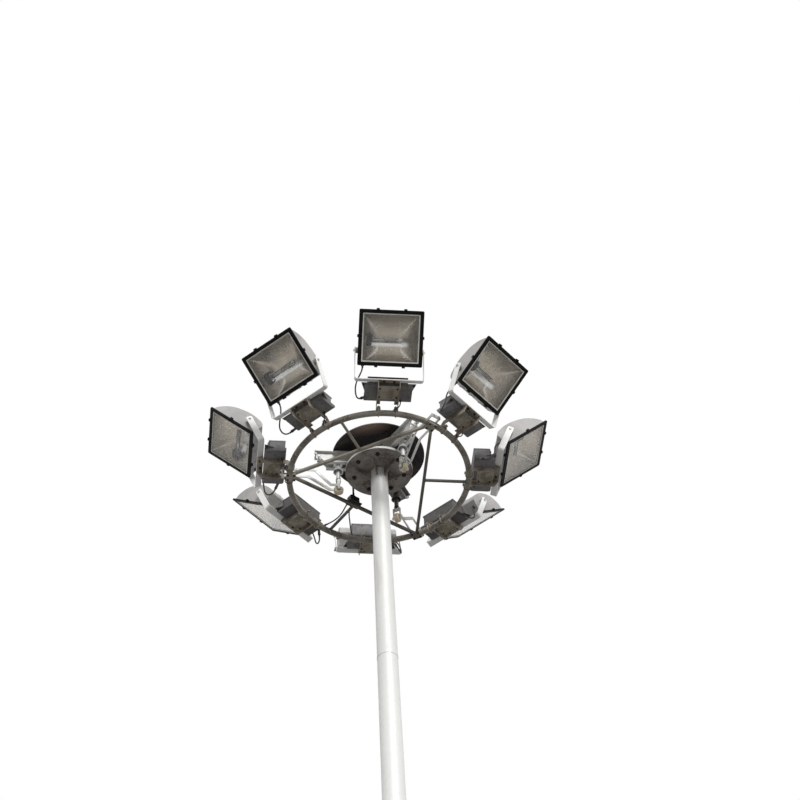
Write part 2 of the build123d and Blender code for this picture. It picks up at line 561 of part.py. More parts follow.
LAMP_ANGLES = [k * 360 / LAMP_COUNT for k in range(LAMP_COUNT)]
save(repeated(bracket, LAMP_ANGLES), "mounting_brackets")

# Floodlight planes: in FACE x runs up the front and y runs back into the housing; in PANE
# x runs round the mast, y up the front; END shows the front from its lower edge.
tilt = radians(FACE_TILT)
FACE = Plane(origin=(FACE_R, 0, FACE_Z), x_dir=(sin(tilt), 0, cos(tilt)), z_dir=(0, -1, 0))
PANE = Plane(origin=(FACE_R, 0, FACE_Z), x_dir=(0, 1, 0), z_dir=(cos(tilt), 0, -sin(tilt)))
END = Plane(origin=(FACE_R, 0, FACE_Z), x_dir=(0, 1, 0), z_dir=(sin(tilt), 0, cos(tilt)))

# Lead from each floodlight's gland down in a slack loop to the end of its gear tray
HOUSING_LOW_X, GLAND_X, GLAND_D, GLAND_T = -240.0, -254.0, 75.0, -230.0
LEAD_GLAND_R, BOX_GLAND_R, JOIN_D = 12.0, 9.0, 12.0
gland_end = FACE.from_local_coords((GLAND_X, GLAND_D, -GLAND_T))
lead_drop = FACE.from_local_coords((GLAND_X - 32, GLAND_D, -GLAND_T))
LEAD_ROUTE = [(gland_end.X, GLAND_T, gland_end.Z - RING_Z),
              (lead_drop.X, GLAND_T, lead_drop.Z - RING_Z), (1031, -252, 222),
              (1016, -276, 166), (1010, -289, 108), (1002, -292, 58), (972, -285, 22),
              (930, -262, 26), (911, -235, 59)]
lead_path = [spot(0, *p) for p in LEAD_ROUTE]
lamp_lead = cable(lead_path, LEAD_D)
save(repeated(lamp_lead, LAMP_ANGLES), "lamp_leads")

# Lead from under each gear tray into the ring, and two cables from the supply junction
BOX_ROUTE = [(868, 112, 82), (868, 112, 58), (864, 106, 34), (855, 92, 16), (838, 68, 9)]
TRAY_ROUTE = [(452, -20, 60), (490, -20, 60), (550, -50, 38), (622, -110, 26), (690, -165, 30),
              (755, -222, 42), (806, -268, 56), (831, -288, 80)]
RING_ROUTE = [(452, 20, 60), (490, 20, 60), (550, 14, 36), (612, 14, 22), (665, 22, 20),
              (712, 38, 16), (755, 62, 10)]
box_path = [spot(0, *p) for p in BOX_ROUTE]
box_lead = cable(box_path, BOX_LEAD_D)
tray_cable = cable([spot(CABLE_ANGLE, *p) for p in TRAY_ROUTE], JOIN_D)
ring_path = [spot(CABLE_ANGLE, *p) for p in RING_ROUTE]
ring_cable = cable(ring_path, JOIN_D)
with BuildPart() as box_leads:
    for angle in LAMP_ANGLES:
        add(box_lead.part, rotation=(0, 0, angle))
    add(tray_cable.part)
    add(ring_cable.part)
save(box_leads.part, "box_leads")

# The ring carries one gland for each gear box's lead, on its outer side, and one on its
# inner side for the cable from the junction. Each gland points along its cable.
RING_GLAND_L, RING_INLET_L = 42.0, 36.0
with BuildPart() as ring_gland:
    with BuildSketch(Plane(origin=box_path[-1], z_dir=box_path[-1] - box_path[-2])):
        Circle(BOX_GLAND_R)
    extrude(amount=RING_GLAND_L)
with BuildPart() as carriage_ring:
    add(ring_tube.part)
    for angle in LAMP_ANGLES:
        add(ring_gland.part, rotation=(0, 0, angle))
    with BuildSketch(Plane(origin=ring_path[-1], z_dir=ring_path[-1] - ring_path[-2])):
        Circle(BOX_GLAND_R)
    extrude(amount=RING_INLET_L)
save(carriage_ring.part, "carriage_ring")

# Gear box: a tray with rolled lower edges, a flange with ears at its outer corners, and
# the box with its black cover plate. Its two glands point at the leads.
EAR_HALF, EAR_R, FLANGE_SHEET = 240.0, 937.0, 4.0
TRAY_ROLL_R, BOX_CORNER_R = 28.0, 14.0
COVER_W, COVER_H, COVER_T = 340.0, 95.0, 6.0
with BuildPart() as gear_box:
    with BuildSketch(Plane.XZ):
        with Locations(((TRAY_IN_R + TRAY_OUT_R) / 2, (TRAY_LOW + TRAY_HIGH) / 2)):
            Rectangle(TRAY_OUT_R - TRAY_IN_R, TRAY_HIGH - TRAY_LOW)
    extrude(amount=TRAY_HALF, both=True)
    fillet(gear_box.edges().filter_by(Axis.Y).group_by(Axis.Z)[0], radius=TRAY_ROLL_R)
    with BuildSketch(Plane.XY.offset(TRAY_HIGH - FLANGE_SHEET)):
        with BuildLine():
            Polyline((TRAY_IN_R, -TRAY_HALF), (EAR_R, -TRAY_HALF), (TRAY_OUT_R, -EAR_HALF),
                     (TRAY_OUT_R, EAR_HALF), (EAR_R, TRAY_HALF), (TRAY_IN_R, TRAY_HALF), close=True)
        make_face()
    extrude(amount=FLANGE_SHEET)
    with BuildSketch(Plane.XY.offset(TRAY_HIGH)):
        with Locations(((BOX_IN_R + BOX_OUT_R) / 2, 0)):
            RectangleRounded(BOX_OUT_R - BOX_IN_R, 2 * BOX_HALF, BOX_CORNER_R)
    extrude(amount=BOX_HIGH - TRAY_HIGH)
    with BuildSketch(cross_plane(0, BOX_OUT_R, (TRAY_HIGH + BOX_HIGH) / 2)):
        RectangleRounded(COVER_W, COVER_H, 8)
    extrude(amount=COVER_T)
    with BuildSketch(Plane(origin=lead_path[-1], z_dir=lead_path[-1] - lead_path[-2])):
        Circle(LEAD_GLAND_R)
    extrude(amount=62)
    with BuildSketch(Plane(origin=box_path[0], z_dir=(0, 0, 1))):
        Circle(BOX_GLAND_R)
    extrude(amount=20)
TRAY_PORT = spot(CABLE_ANGLE, *TRAY_ROUTE[-1])
with BuildPart() as gear_boxes:
    for angle in LAMP_ANGLES:
        add(gear_box.part, rotation=(0, 0, angle))
    with BuildSketch(Plane(origin=TRAY_PORT, z_dir=TRAY_PORT - spot(CABLE_ANGLE, *TRAY_ROUTE[-2]))):
        Circle(BOX_GLAND_R)
    extrude(amount=24)
save(gear_boxes.part, "gear_boxes")

ARM_LENGTH = hypot(PIVOT_R - YOKE_BASE_R, PIVOT_Z - YOKE_BASE_Z)
YOKE_BEND_R, YOKE_TIP, TIP_R = 22.0, 28.0, 16.0
with BuildPart() as yoke:
    with BuildSketch(SEAT):
        with BuildLine():
            FilletPolyline((-YOKE_HALF, ARM_LENGTH + YOKE_TIP), (-YOKE_HALF, YOKE_T / 2),
                           (YOKE_HALF, YOKE_T / 2), (YOKE_HALF, ARM_LENGTH + YOKE_TIP),
                           radius=YOKE_BEND_R)
            offset(amount=YOKE_T / 2, side=Side.BOTH)
        make_face()
    extrude(amount=YOKE_W / 2, both=True)
    with BuildSketch(Plane(origin=SEAT.origin, x_dir=SEAT.z_dir, z_dir=(0, -1, 0))):
        with Locations((0, (ARM_LENGTH + YOKE_TIP) / 2 - TIP_R)):
            RectangleRounded(YOKE_W, ARM_LENGTH + YOKE_TIP + 2 * TIP_R, TIP_R)
    extrude(amount=YOKE_HALF + YOKE_T, both=True, mode=Mode.INTERSECT)
    with BuildSketch(Plane.XZ):
        with Locations((PIVOT_R, PIVOT_Z)):
            Circle(8)
    extrude(amount=YOKE_HALF + 20, both=True, mode=Mode.SUBTRACT)
save(repeated(yoke, LAMP_ANGLES), "yokes")

# Floodlight housing: pressed aluminium, flat in front and curved at the back, with a
# flange behind the frame, three shallow ribs, two pivot bosses and a gland for the lead
FRONT_D, LIP_D = 8.0, 13.0
FLANGE_LIP_W, FLANGE_LIP_H = 548.0, 474.0
RIB_PROUD, RIB_HALF, RIB_SPOTS = 4.0, 6.0, (-130.0, 0.0, 130.0)
BOSS_R, PIVOT_BOLT_R = 26.0, 7.0
BOSS_HALF = YOKE_HALF - YOKE_T / 2 - 0.6
with BuildSketch(FACE) as housing_section:
    with BuildLine():
        front = Polyline((HOUSING_LOW_X, 138), (HOUSING_LOW_X, FRONT_D), (228, FRONT_D), (221, 46))
        roof = ThreePointArc(front @ 1, (141, 137), (39, 179))
        back = ThreePointArc(roof @ 1, (-69, 194), (-174, 179))
        ThreePointArc(back @ 1, (-212, 166), front @ 0)
    make_face()
with BuildPart() as housing:
    with BuildSketch(FACE):
        add(housing_section.sketch_local)
    extrude(amount=HOUSING_W / 2, both=True)
    for spot_t in RIB_SPOTS:
        with BuildSketch(FACE.offset(-spot_t)):
            add(housing_section.sketch_local)
            offset(amount=RIB_PROUD, mode=Mode.REPLACE)
            with Locations((0, -40)):
                Rectangle(600, 200, mode=Mode.SUBTRACT)
        extrude(amount=RIB_HALF, both=True)
    with BuildSketch(PANE.offset(-LIP_D)):
        RectangleRounded(FLANGE_LIP_W, FLANGE_LIP_H, 8)
    extrude(amount=LIP_D - FRONT_D)
    with BuildSketch(Plane(origin=gland_end, z_dir=FACE.x_dir)):
        Circle(LEAD_GLAND_R + 1)
    extrude(amount=20)
    with BuildSketch(FACE):
        add(housing_section.sketch_local)
        offset(amount=-HOUSING_T, mode=Mode.REPLACE)
    extrude(amount=HOUSING_W / 2 - HOUSING_T, both=True, mode=Mode.SUBTRACT)
    with BuildSketch(PANE.offset(-LIP_D)):
        with Locations((0, -6)):
            Rectangle(514, 456)
    extrude(amount=LIP_D, mode=Mode.SUBTRACT)
    for side in (-1, 1):
        with BuildSketch(Plane.XZ.offset(side * (HOUSING_W / 2 - 1))):
            with Locations((PIVOT_R, PIVOT_Z)):
                Circle(BOSS_R)
                Circle(PIVOT_BOLT_R, mode=Mode.SUBTRACT)
        extrude(amount=side * (BOSS_HALF - HOUSING_W / 2 + 1))

# Front frame with a rebate for the glass, and toggle clips that hook behind the flange
REBATE_W, REBATE_H, REBATE_D = 531.0, 456.0, -1.0
FRAME_FRONT_D = -6.0
CLIP_HALF, CLIP_PROUD, SIDE_CLIP_PROUD, CLIP_SPOT = 13.0, 12.0, 9.0, 120.0
clip_boxes = [(s * CLIP_SPOT, e * (FRAME_H / 2 + CLIP_PROUD / 2 - 2), 2 * CLIP_HALF, CLIP_PROUD + 4)
              for s in (-1, 1) for e in (-1, 1)]
clip_boxes += [(s * (FRAME_W / 2 + SIDE_CLIP_PROUD / 2 - 4), 10, SIDE_CLIP_PROUD + 8, 2 * CLIP_HALF)
               for s in (-1, 1)]
with BuildPart() as front_frame:
    with BuildSketch(PANE.offset(-FRONT_D)):
        RectangleRounded(FRAME_W, FRAME_H, 12)
        Rectangle(FRAME_W - 2 * FRAME_BORDER, FRAME_H - 2 * FRAME_BORDER, mode=Mode.SUBTRACT)
    extrude(amount=FRONT_D - FRAME_FRONT_D)
    for x, y, width, height in clip_boxes:
        with BuildSketch(PANE.offset(-LIP_D - 4)):
            with Locations((x, y)):
                Rectangle(width, height)
        extrude(amount=LIP_D + 4 - FRAME_FRONT_D + 3)
    with BuildSketch(PANE.offset(-LIP_D - 0.5)):
        RectangleRounded(FLANGE_LIP_W + 1, FLANGE_LIP_H + 1, 8)
    extrude(amount=LIP_D + 0.5 - FRONT_D, mode=Mode.SUBTRACT)
    with BuildSketch(PANE.offset(-FRONT_D)):
        Rectangle(REBATE_W, REBATE_H)
    extrude(amount=FRONT_D - REBATE_D, mode=Mode.SUBTRACT)

GLASS_T, GLASS_AIR = 5.0, 0.2
with BuildPart() as front_glass:
    with BuildSketch(PANE.offset(GLASS_AIR - REBATE_D - GLASS_T - 2 * GLASS_AIR)):
        Rectangle(REBATE_W - 2, REBATE_H - 2)
    extrude(amount=GLASS_T)


def bowl(inset, mouth_d):
    """Solid of the hipped reflector: the long trough cut by the curves of its two ends."""
    with BuildPart() as solid:
        with BuildSketch(FACE):
            with BuildLine():
                upper = ThreePointArc((212 - inset, mouth_d), (132, 112 - inset), (-60, 165 - inset))
                lower = ThreePointArc(upper @ 1, (-178 + inset, 118 - inset), (-212 + inset, mouth_d))
                Line(lower @ 1, upper @ 0)
            make_face()
        extrude(amount=246 - inset, both=True)
        with BuildSketch(END):
            with BuildLine():
                left = ThreePointArc((-246 + inset, mouth_d), (-188, 108 - inset), (-92, 165 - inset))
                right = ThreePointArc((92, 165 - inset), (188, 108 - inset), (246 - inset, mouth_d))
                Polyline(left @ 1, (-92, 200), (92, 200), right @ 0)
                Line(right @ 1, left @ 0)
            make_face()
        extrude(amount=260, both=True, mode=Mode.INTERSECT)
    return solid


# Optics: hipped reflector with a flat flange behind the glass, tubular lamp in its holder
REFLECTOR_T, LAMP_R, HOLDER_R, MOUTH_D = 1.5, 23.0, 30.0, 9.0
lamp_centre = FACE.from_local_coords((-25, 88, 0))
with BuildPart() as optics:
    add(bowl(0, MOUTH_D).part)
    with BuildSketch(PANE.offset(-MOUTH_D - 2)):
        with Locations((0, -6)):
            Rectangle(512, 452)
    extrude(amount=2)
    add(bowl(REFLECTOR_T, MOUTH_D - 4).part, mode=Mode.SUBTRACT)
    with BuildSketch(Plane(origin=lamp_centre, z_dir=(0, 1, 0))):
        Circle(LAMP_R)
    extrude(amount=110)
    with BuildSketch(Plane(origin=lamp_centre, z_dir=(0, -1, 0))):
        Circle(LAMP_R)
    extrude(amount=175)
    with BuildSketch(Plane(origin=lamp_centre - Vector(0, 170, 0), z_dir=(0, -1, 0))):
        Circle(HOLDER_R)
    extrude(amount=80)

for k, angle in enumerate(LAMP_ANGLES):
    for piece, name in ((housing, "housing"), (front_frame, "front_frame"),
                        (front_glass, "front_glass"), (optics, "optics")):
        save(repeated(piece, [angle]), f"{name}_{k + 1}")
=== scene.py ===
import math
import bmesh
import bpy
import numpy as np
from mathutils import Matrix, Vector


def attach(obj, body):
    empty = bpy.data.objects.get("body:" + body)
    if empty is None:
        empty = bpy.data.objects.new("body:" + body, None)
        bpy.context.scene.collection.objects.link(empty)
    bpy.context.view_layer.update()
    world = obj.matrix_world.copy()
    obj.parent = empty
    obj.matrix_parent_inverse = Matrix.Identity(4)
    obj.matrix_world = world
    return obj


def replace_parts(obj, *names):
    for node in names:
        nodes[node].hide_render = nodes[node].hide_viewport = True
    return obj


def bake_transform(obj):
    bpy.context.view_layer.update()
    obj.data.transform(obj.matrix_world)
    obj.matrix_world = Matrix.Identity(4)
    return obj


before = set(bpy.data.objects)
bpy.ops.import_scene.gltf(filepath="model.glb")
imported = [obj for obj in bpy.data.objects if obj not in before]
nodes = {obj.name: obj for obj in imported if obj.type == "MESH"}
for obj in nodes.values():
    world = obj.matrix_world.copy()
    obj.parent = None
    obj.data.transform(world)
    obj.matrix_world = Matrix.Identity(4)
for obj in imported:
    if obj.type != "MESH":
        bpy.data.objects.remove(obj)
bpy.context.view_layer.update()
scene = bpy.context.scene
scene.view_settings.view_transform = "Standard"

# Camera. It is in front of the mast, a little to the left and about four metres over the ground,
# and looks up at the floodlight ring with a long lens, tipped a few degrees off level.
CAMERA_BACK = (-1.854, -15.591, -15.793)
CAMERA_LENS, SIGHT = 112.5, 200
CAMERA_TURN, CAMERA_RISE, CAMERA_ROLL = (math.radians(v) for v in (7.6, 46.94, -3.26))
RING_Z = 19.920
camera_data = bpy.data.cameras.new("camera")
camera_data.lens = CAMERA_LENS
camera_data.clip_end = SIGHT
camera = bpy.data.objects.new("camera", camera_data)
scene.collection.objects.link(camera)
scene.camera = camera
forward = Vector((math.sin(CAMERA_TURN) * math.cos(CAMERA_RISE),
                  math.cos(CAMERA_TURN) * math.cos(CAMERA_RISE), math.sin(CAMERA_RISE)))
level_right = forward.cross(Vector((0, 0, 1))).normalized()
level_up = level_right.cross(forward)
right = level_right * math.cos(CAMERA_ROLL) + level_up * math.sin(CAMERA_ROLL)
up = level_up * math.cos(CAMERA_ROLL) - level_right * math.sin(CAMERA_ROLL)
place = Matrix((right, up, -forward)).transposed().to_4x4()
place.translation = Vector((0, 0, RING_Z)) + Vector(CAMERA_BACK)
camera.matrix_world = place

# Leads and cables. Rubber-sheathed flexes, each held by the glands at its two ends: one from
# each floodlight in a slack loop to its gear tray, one from under each tray into the ring,
# two from the socket box on the triangle, and the supply cable that drops from the head.
LAMP_ANGLES = np.arange(8) * 45.0
ARM_ANGLES = np.array([60.0, 180.0, 300.0])
CABLE_ANGLE = 120.0
LEAD_ROUTE = [(1.0833, -0.230, 0.2843), (1.0586, -0.230, 0.264), (1.031, -0.252, 0.222),
              (1.016, -0.276, 0.166), (1.010, -0.289, 0.108), (1.002, -0.292, 0.058),
              (0.972, -0.285, 0.022), (0.930, -0.262, 0.026), (0.911, -0.235, 0.059)]
BOX_ROUTE = [(0.868, 0.112, 0.082), (0.868, 0.112, 0.058), (0.864, 0.106, 0.034),
             (0.855, 0.092, 0.016), (0.838, 0.068, 0.009)]
TRAY_ROUTE = [(0.452, -0.020, 0.060), (0.490, -0.020, 0.060), (0.550, -0.050, 0.038),
              (0.622, -0.110, 0.026), (0.690, -0.165, 0.030), (0.755, -0.222, 0.042),
              (0.806, -0.268, 0.056), (0.831, -0.288, 0.080)]
RING_ROUTE = [(0.452, 0.020, 0.060), (0.490, 0.020, 0.060), (0.550, 0.014, 0.036),
              (0.612, 0.014, 0.022), (0.665, 0.022, 0.020), (0.712, 0.038, 0.016),
              (0.755, 0.062, 0.010)]
SUPPLY_ROUTE = [(0.400, 0.0, 0.108), (0.400, 0.0, 0.170), (0.400, 0.0, 0.232)]
LEAD_D, BOX_LEAD_D, JOIN_D, SUPPLY_D = 0.013, 0.010, 0.012, 0.018
LEAD_LENGTH, BOX_LEAD_LENGTH, TRAY_LENGTH, RING_LENGTH, SUPPLY_LENGTH = 0.394, 0.103, 0.486, 0.318, 0.124


def painted(node, material):
    """A CAD node that keeps its shape takes this material."""
    nodes[node].data.materials.clear()
    nodes[node].data.materials.append(material)


def turned(points, degrees):
    """Points given as radius, distance round to the left and height, turned about the mast."""
    points = np.asarray(points, float)
    angle = math.radians(degrees)
    r, t, z = points[..., 0], points[..., 1], points[..., 2]
    return np.stack([r * math.cos(angle) - t * math.sin(angle),
                     r * math.sin(angle) + t * math.cos(angle), z], -1)


def at_ring(points):
    """Heights over the ring's centre line become heights over the ground."""
    return np.asarray(points, float) + (0, 0, RING_Z)


def skin(points, closed=(False, True)):
    """Points and faces of one grid or many: each point is joined to the next in its row and
    in its column, and the last to the first where that way round is closed."""
    points = np.asarray(points, float)
    rows, columns = points.shape[-3:-1]
    index = np.arange(rows * columns).reshape(rows, columns)
    index = np.concatenate([index, index[:1]], 0) if closed[0] else index
    index = np.concatenate([index, index[:, :1]], 1) if closed[1] else index
    faces = np.stack([index[:-1, :-1], index[1:, :-1], index[1:, 1:], index[:-1, 1:]], -1)
    copies = points.reshape(-1, rows * columns, 3)
    steps = np.arange(len(copies))[:, None, None] * rows * columns
    return copies.reshape(-1, 3), (faces.reshape(1, -1, 4) + steps).reshape(-1, 4)


def made(name, skins, finishes, body=None, merge=True, crease=35):
    """Mesh piece from skins, with one finish or a finish each: doubled points are merged,
    faces turned outwards, and edges sharper than the crease stay sharp."""
    finishes = finishes if isinstance(finishes, list) else [finishes] * len(skins)
    own = list(dict.fromkeys(finishes))
    starts = np.cumsum([0] + [len(points) for points, _ in skins])
    mesh = bpy.data.meshes.new(name)
    mesh.from_pydata(np.concatenate([points for points, _ in skins]).tolist(), [],
                     np.concatenate([f + s for (_, f), s in zip(skins, starts)]).tolist())
    kinds = np.repeat([own.index(m) for m in finishes], [len(f) for _, f in skins])
    mesh.polygons.foreach_set("material_index", kinds.astype(np.int32))
    for finish in own:
        mesh.materials.append(finish)
    if merge:
        joined = bmesh.new()
        joined.from_mesh(mesh)
        bmesh.ops.remove_doubles(joined, verts=joined.verts, dist=1e-6)
        bmesh.ops.recalc_face_normals(joined, faces=joined.faces)
        joined.to_mesh(mesh)
        joined.free()
    mesh.polygons.foreach_set("use_smooth", np.ones(len(mesh.polygons), bool))
    mesh.set_sharp_from_angle(angle=math.radians(crease))
    thing = bpy.data.objects.new(name, mesh)
    scene.collection.objects.link(thing)
    if body:
        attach(thing, body)
    return thing


def unit(vectors):
    """Vectors divided by their own lengths."""
    return vectors / np.linalg.norm(vectors, axis=-1, keepdims=True)


def carried(profile, line, across, size=1.0):
    """A closed profile of offsets (across, up) carried along a line, square to it, its size
    free to change from point to point. Both ends are closed to their middle."""
    line = np.asarray(line, float)
    heading = unit(np.gradient(line, axis=0))
    rise = unit(np.cross(heading, across))
    side = np.cross(rise, heading)
    profile = np.asarray(profile, float)
    size = np.broadcast_to(size, len(line))[:, None, None]
    offsets = profile[:, 0, None] * side[:, None] + profile[:, 1, None] * rise[:, None]
    body = line[:, None] + size * offsets
    ends = np.repeat(line[[0, -1]][:, None], len(profile), 1)
    return np.concatenate([ends[:1], body, ends[1:]])


def circle(radius, sides=16):
    """Points of a circle: cosine and sine of even steps."""
    step = np.arange(sides) * 2 * np.pi / sides
    return radius * np.stack([np.cos(step), np.sin(step)], -1)


def smooth_line(route):
    """Points of the third-order NURBS curve that a route's points pull into shape."""
    curve = bpy.data.curves.new("route", "CURVE")
    curve.dimensions = "3D"
    spline = curve.splines.new("NURBS")
    spline.points.add(len(route) - 1)
    spline.points.foreach_set("co", np.c_[route, np.ones(len(route))].ravel())
    spline.order_u = 3
    spline.use_endpoint_u = True
    holder = bpy.data.objects.new("route", curve)
    mesh = bpy.data.meshes.new_from_object(holder)
    line = np.empty(len(mesh.vertices) * 3, np.float32)
    mesh.vertices.foreach_get("co", line)
    bpy.data.objects.remove(holder)
    bpy.data.curves.remove(curve)
    bpy.data.meshes.remove(mesh)
    return line.reshape(-1, 3).astype(float)


def wired(tree, node, inputs):
    """A node's inputs are linked to sockets or take plain values."""
    for name, value in inputs.items():
        if isinstance(value, bpy.types.NodeSocket):
            tree.links.new(value, node.inputs[name])
        else:
            node.inputs[name].default_value = value


def added(tree, kind, inputs, **settings):
    """Outputs of a new node, with its settings made and its inputs wired."""
    node = tree.nodes.new("ShaderNode" + kind)
    for name, value in settings.items():
        setattr(node, name, value)
    wired(tree, node, inputs)
    return node.outputs


def new_finish(name, roughness, metallic=0.0, specular=0.5):
    """Empty material with its shader's plain numbers set, its nodes and its object coordinates."""
    material = bpy.data.materials.new(name)
    material.use_nodes = True
    tree = material.node_tree
    shader = tree.nodes["Principled BSDF"]
    wired(tree, shader, {"Roughness": roughness, "Metallic": metallic, "Specular IOR Level": specular})
    return material, tree, shader, added(tree, "TexCoord", {})["Object"]


def spread(tree, value, low, high, to_low=0.0, to_high=1.0):
    """A value's span from low to high stretched over another span, and clamped to it."""
    return added(tree, "MapRange", {"Value": value, "From Min": low, "From Max": high,
                                    "To Min": to_low, "To Max": to_high})["Result"]


def cloud(tree, coordinates, scale, detail=4.0, stretch=(1, 1, 1)):
    """Cloudy noise over the object, its blobs about one over the scale across, or stretched."""
    place = added(tree, "Mapping", {"Vector": coordinates, "Scale": stretch})["Vector"]
    return added(tree, "TexNoise", {"Vector": place, "Scale": scale, "Detail": detail})["Fac"]


def blended(tree, factor, first, second):
    """A colour, or a colour's socket, mixed with another colour by a factor."""
    first = first if isinstance(first, bpy.types.NodeSocket) else (*first, 1)
    return added(tree, "Mix", {"Factor": factor, "A": first, "B": (*second, 1)}, data_type="RGBA")["Result"]


def surfaced(tree, shader, tone, rough, height, depth):
    """The shader takes a colour, a roughness, and a relief of a depth in metres from a height
    between 0 and 1."""
    normal = added(tree, "Bump", {"Height": height, "Distance": depth})["Normal"]
    wired(tree, shader, {"Base Color": tone, "Roughness": rough, "Normal": normal})


def coat(name, colour, patches, dirt, roughness=0.5, patch_scale=4.0, grain_scale=60.0,
         stretch=(1, 1, 1), patch_share=(0.42, 0.62), dirt_share=(0.55, 0.75), metallic=0.0,
         relief=0.0003, specular=0.5):
    """Weathered coating: a colour with large cloudy patches of a second and fine specks of dirt,
    rougher where it is dirty, with a slight orange-peel relief."""
    material, tree, shader, place = new_finish(name, roughness, metallic, specular)
    large = spread(tree, cloud(tree, place, patch_scale, 5.0, stretch), *patch_share)
    small = cloud(tree, place, grain_scale, 6.0, stretch)
    specks = spread(tree, small, *dirt_share)
    tone = blended(tree, specks, blended(tree, large, colour, patches), dirt)
    rough = spread(tree, small, 0.35, 0.7, roughness * 0.82, min(1.0, roughness * 1.25))
    surfaced(tree, shader, tone, rough, small, relief)
    return material


rubber = coat("rubber_sheath", (0.016, 0.016, 0.017), (0.030, 0.029, 0.028), (0.085, 0.08, 0.07), 0.62,
              patch_scale=9.0, grain_scale=240.0, dirt_share=(0.62, 0.9))


def flex(name, route, degrees, diameter, node):
    """Round flex along the smooth line of its route, standing in for the CAD node, which is hidden."""
    line = smooth_line(turned(at_ring(route), degrees))
    across = turned((0, 1, 0), degrees)
    thing = made(name, [skin(carried(circle(diameter / 2), line, across))], rubber)
    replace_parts(thing, node)
    return thing, line


for k, degrees in enumerate(LAMP_ANGLES, 1):
    lead, line = flex(f"lamp_lead_{k}", LEAD_ROUTE, degrees, LEAD_D, "lamp_leads")
    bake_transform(lead)
    box_lead, _ = flex(f"box_lead_{k}", BOX_ROUTE, degrees, BOX_LEAD_D, "box_leads")
    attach(box_lead, "carriage")
for name, route, diameter, length, node in (
        ("tray_cable", TRAY_ROUTE, JOIN_D, TRAY_LENGTH, "box_leads"),
        ("ring_cable", RING_ROUTE, JOIN_D, RING_LENGTH, "box_leads"),
        ("supply_drop", SUPPLY_ROUTE, SUPPLY_D, SUPPLY_LENGTH, "supply_cable")):
    thing, _ = flex(name, route, CABLE_ANGLE, diameter, node)
    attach(thing, "carriage")
painted("head_cable", rubber)

# Ground and light. A plain pale floor, a pale sky that is white to the eye and softer as
# light, and a low hazy sun from the front.
FLOOR_HALF = 7.0
SUN_FROM, SUN_STRENGTH, SUN_WIDTH = (0.16, -0.87, 0.47), 2.2, math.radians(20)
SKY_LOW, SKY_HIGH, SKY_DIM, SKY_BRIGHT = -0.15, 0.25, 0.17, 0.95
floor_mesh = bpy.data.meshes.new("floor")
corners = [(x * FLOOR_HALF, y * FLOOR_HALF, 0) for x, y in ((-1, -1), (1, -1), (1, 1), (-1, 1))]
floor_mesh.from_pydata(corners, [], [(0, 1, 2, 3)])
floor = bpy.data.objects.new("floor", floor_mesh)
scene.collection.objects.link(floor)
floor_mesh.materials.append(coat("floor_screed", (0.58, 0.58, 0.57), (0.56, 0.56, 0.55),
                                 (0.55, 0.55, 0.54), 0.8, patch_scale=0.6, grain_scale=12.0, specular=0.2))
sun_data = bpy.data.lights.new("sun", "SUN")
sun_data.energy = SUN_STRENGTH
sun_data.angle = SUN_WIDTH
sun = bpy.data.objects.new("sun", sun_data)
scene.collection.objects.link(sun)
sun.rotation_euler = Vector(SUN_FROM).to_track_quat("Z", "Y").to_euler()
world = bpy.data.worlds.new("sky")
scene.world = world
world.use_nodes = True
sky = world.node_tree
height = added(sky, "SeparateXYZ", {"Vector": added(sky, "TexCoord", {})["Generated"]})["Z"]
sky_light = spread(sky, height, SKY_LOW, SKY_HIGH, SKY_DIM, SKY_BRIGHT)
ray = added(sky, "LightPath", {})
seen = ray["Is Camera Ray"]
for kind in ("Is Glossy Ray", "Is Transmission Ray"):
    seen = added(sky, "Math", {0: seen, 1: ray[kind]}, operation="MAXIMUM")["Value"]
strength = added(sky, "Mix", {"Factor": seen, "A": sky_light, "B": 1.0})["Result"]
wired(sky, sky.nodes["Background"], {"Strength": strength, "Color": (1, 1, 1, 1)})

# Mast. Two tapered tubes rolled from 5 mm steel plate, welded and hot-dip galvanised, the upper
# one sleeved over the lower. The lower stands on a gusseted flange held down by eight anchor
# bolts, and a plate door with two key locks closes the winch opening.
MAST_TOP_R, MAST_BASE_R, MAST_TOP_Z = 0.075, 0.19, RING_Z + 0.081
LOWER_STEP, SLIP_LOW, SLIP_HIGH, SLIP_LIP = 0.0055, 10.0, 10.6, 0.01
SEAM_DROPS, SEAM_SINK, SEAM_WELD, FOOT_WELD, FOOT_SINK = (2.2, 4.0), 0.0015, 0.004, 0.005, 0.002
LONG_WELD, LONG_SINK, LONG_STOP, LONG_PITCH, LONG_STEP = 0.0028, 0.001, 0.11, 0.012, 0.003
ANCHOR_PCD_R, ANCHOR_D, ANCHOR_STUD, FLANGE_T, GUSSET_CLEAR = 0.27, 0.03, 1.1, 0.03, 0.3
DOOR_MID, LOCK_SPOT, LOCK_HALF, LOCK_PROUD = 0.9, 0.045, 0.2, 0.0155
LOCK_KEY = [(0, 0), (0.006, 0), (0.006, 0.004), (0, 0.004)]
UP, DOWN, OUT = (0, 0, 1), (0, 0, -1), (1, 0, 0)


def toned(material, measure, point, start, end, colour, hide=0.9):
    """Finish that turns towards a colour in one region: as each place's distance from a point,
    or its dot product with a direction, goes from start to end."""
    tree = material.node_tree
    base = tree.nodes["Principled BSDF"].inputs["Base Color"]
    place = added(tree, "TexCoord", {})["Object"]
    region = added(tree, "VectorMath", {0: place, 1: point}, operation=measure)["Value"]
    share = spread(tree, region, start, end, 0.0, hide)
    tree.links.new(blended(tree, share, base.links[0].from_socket, colour), base)


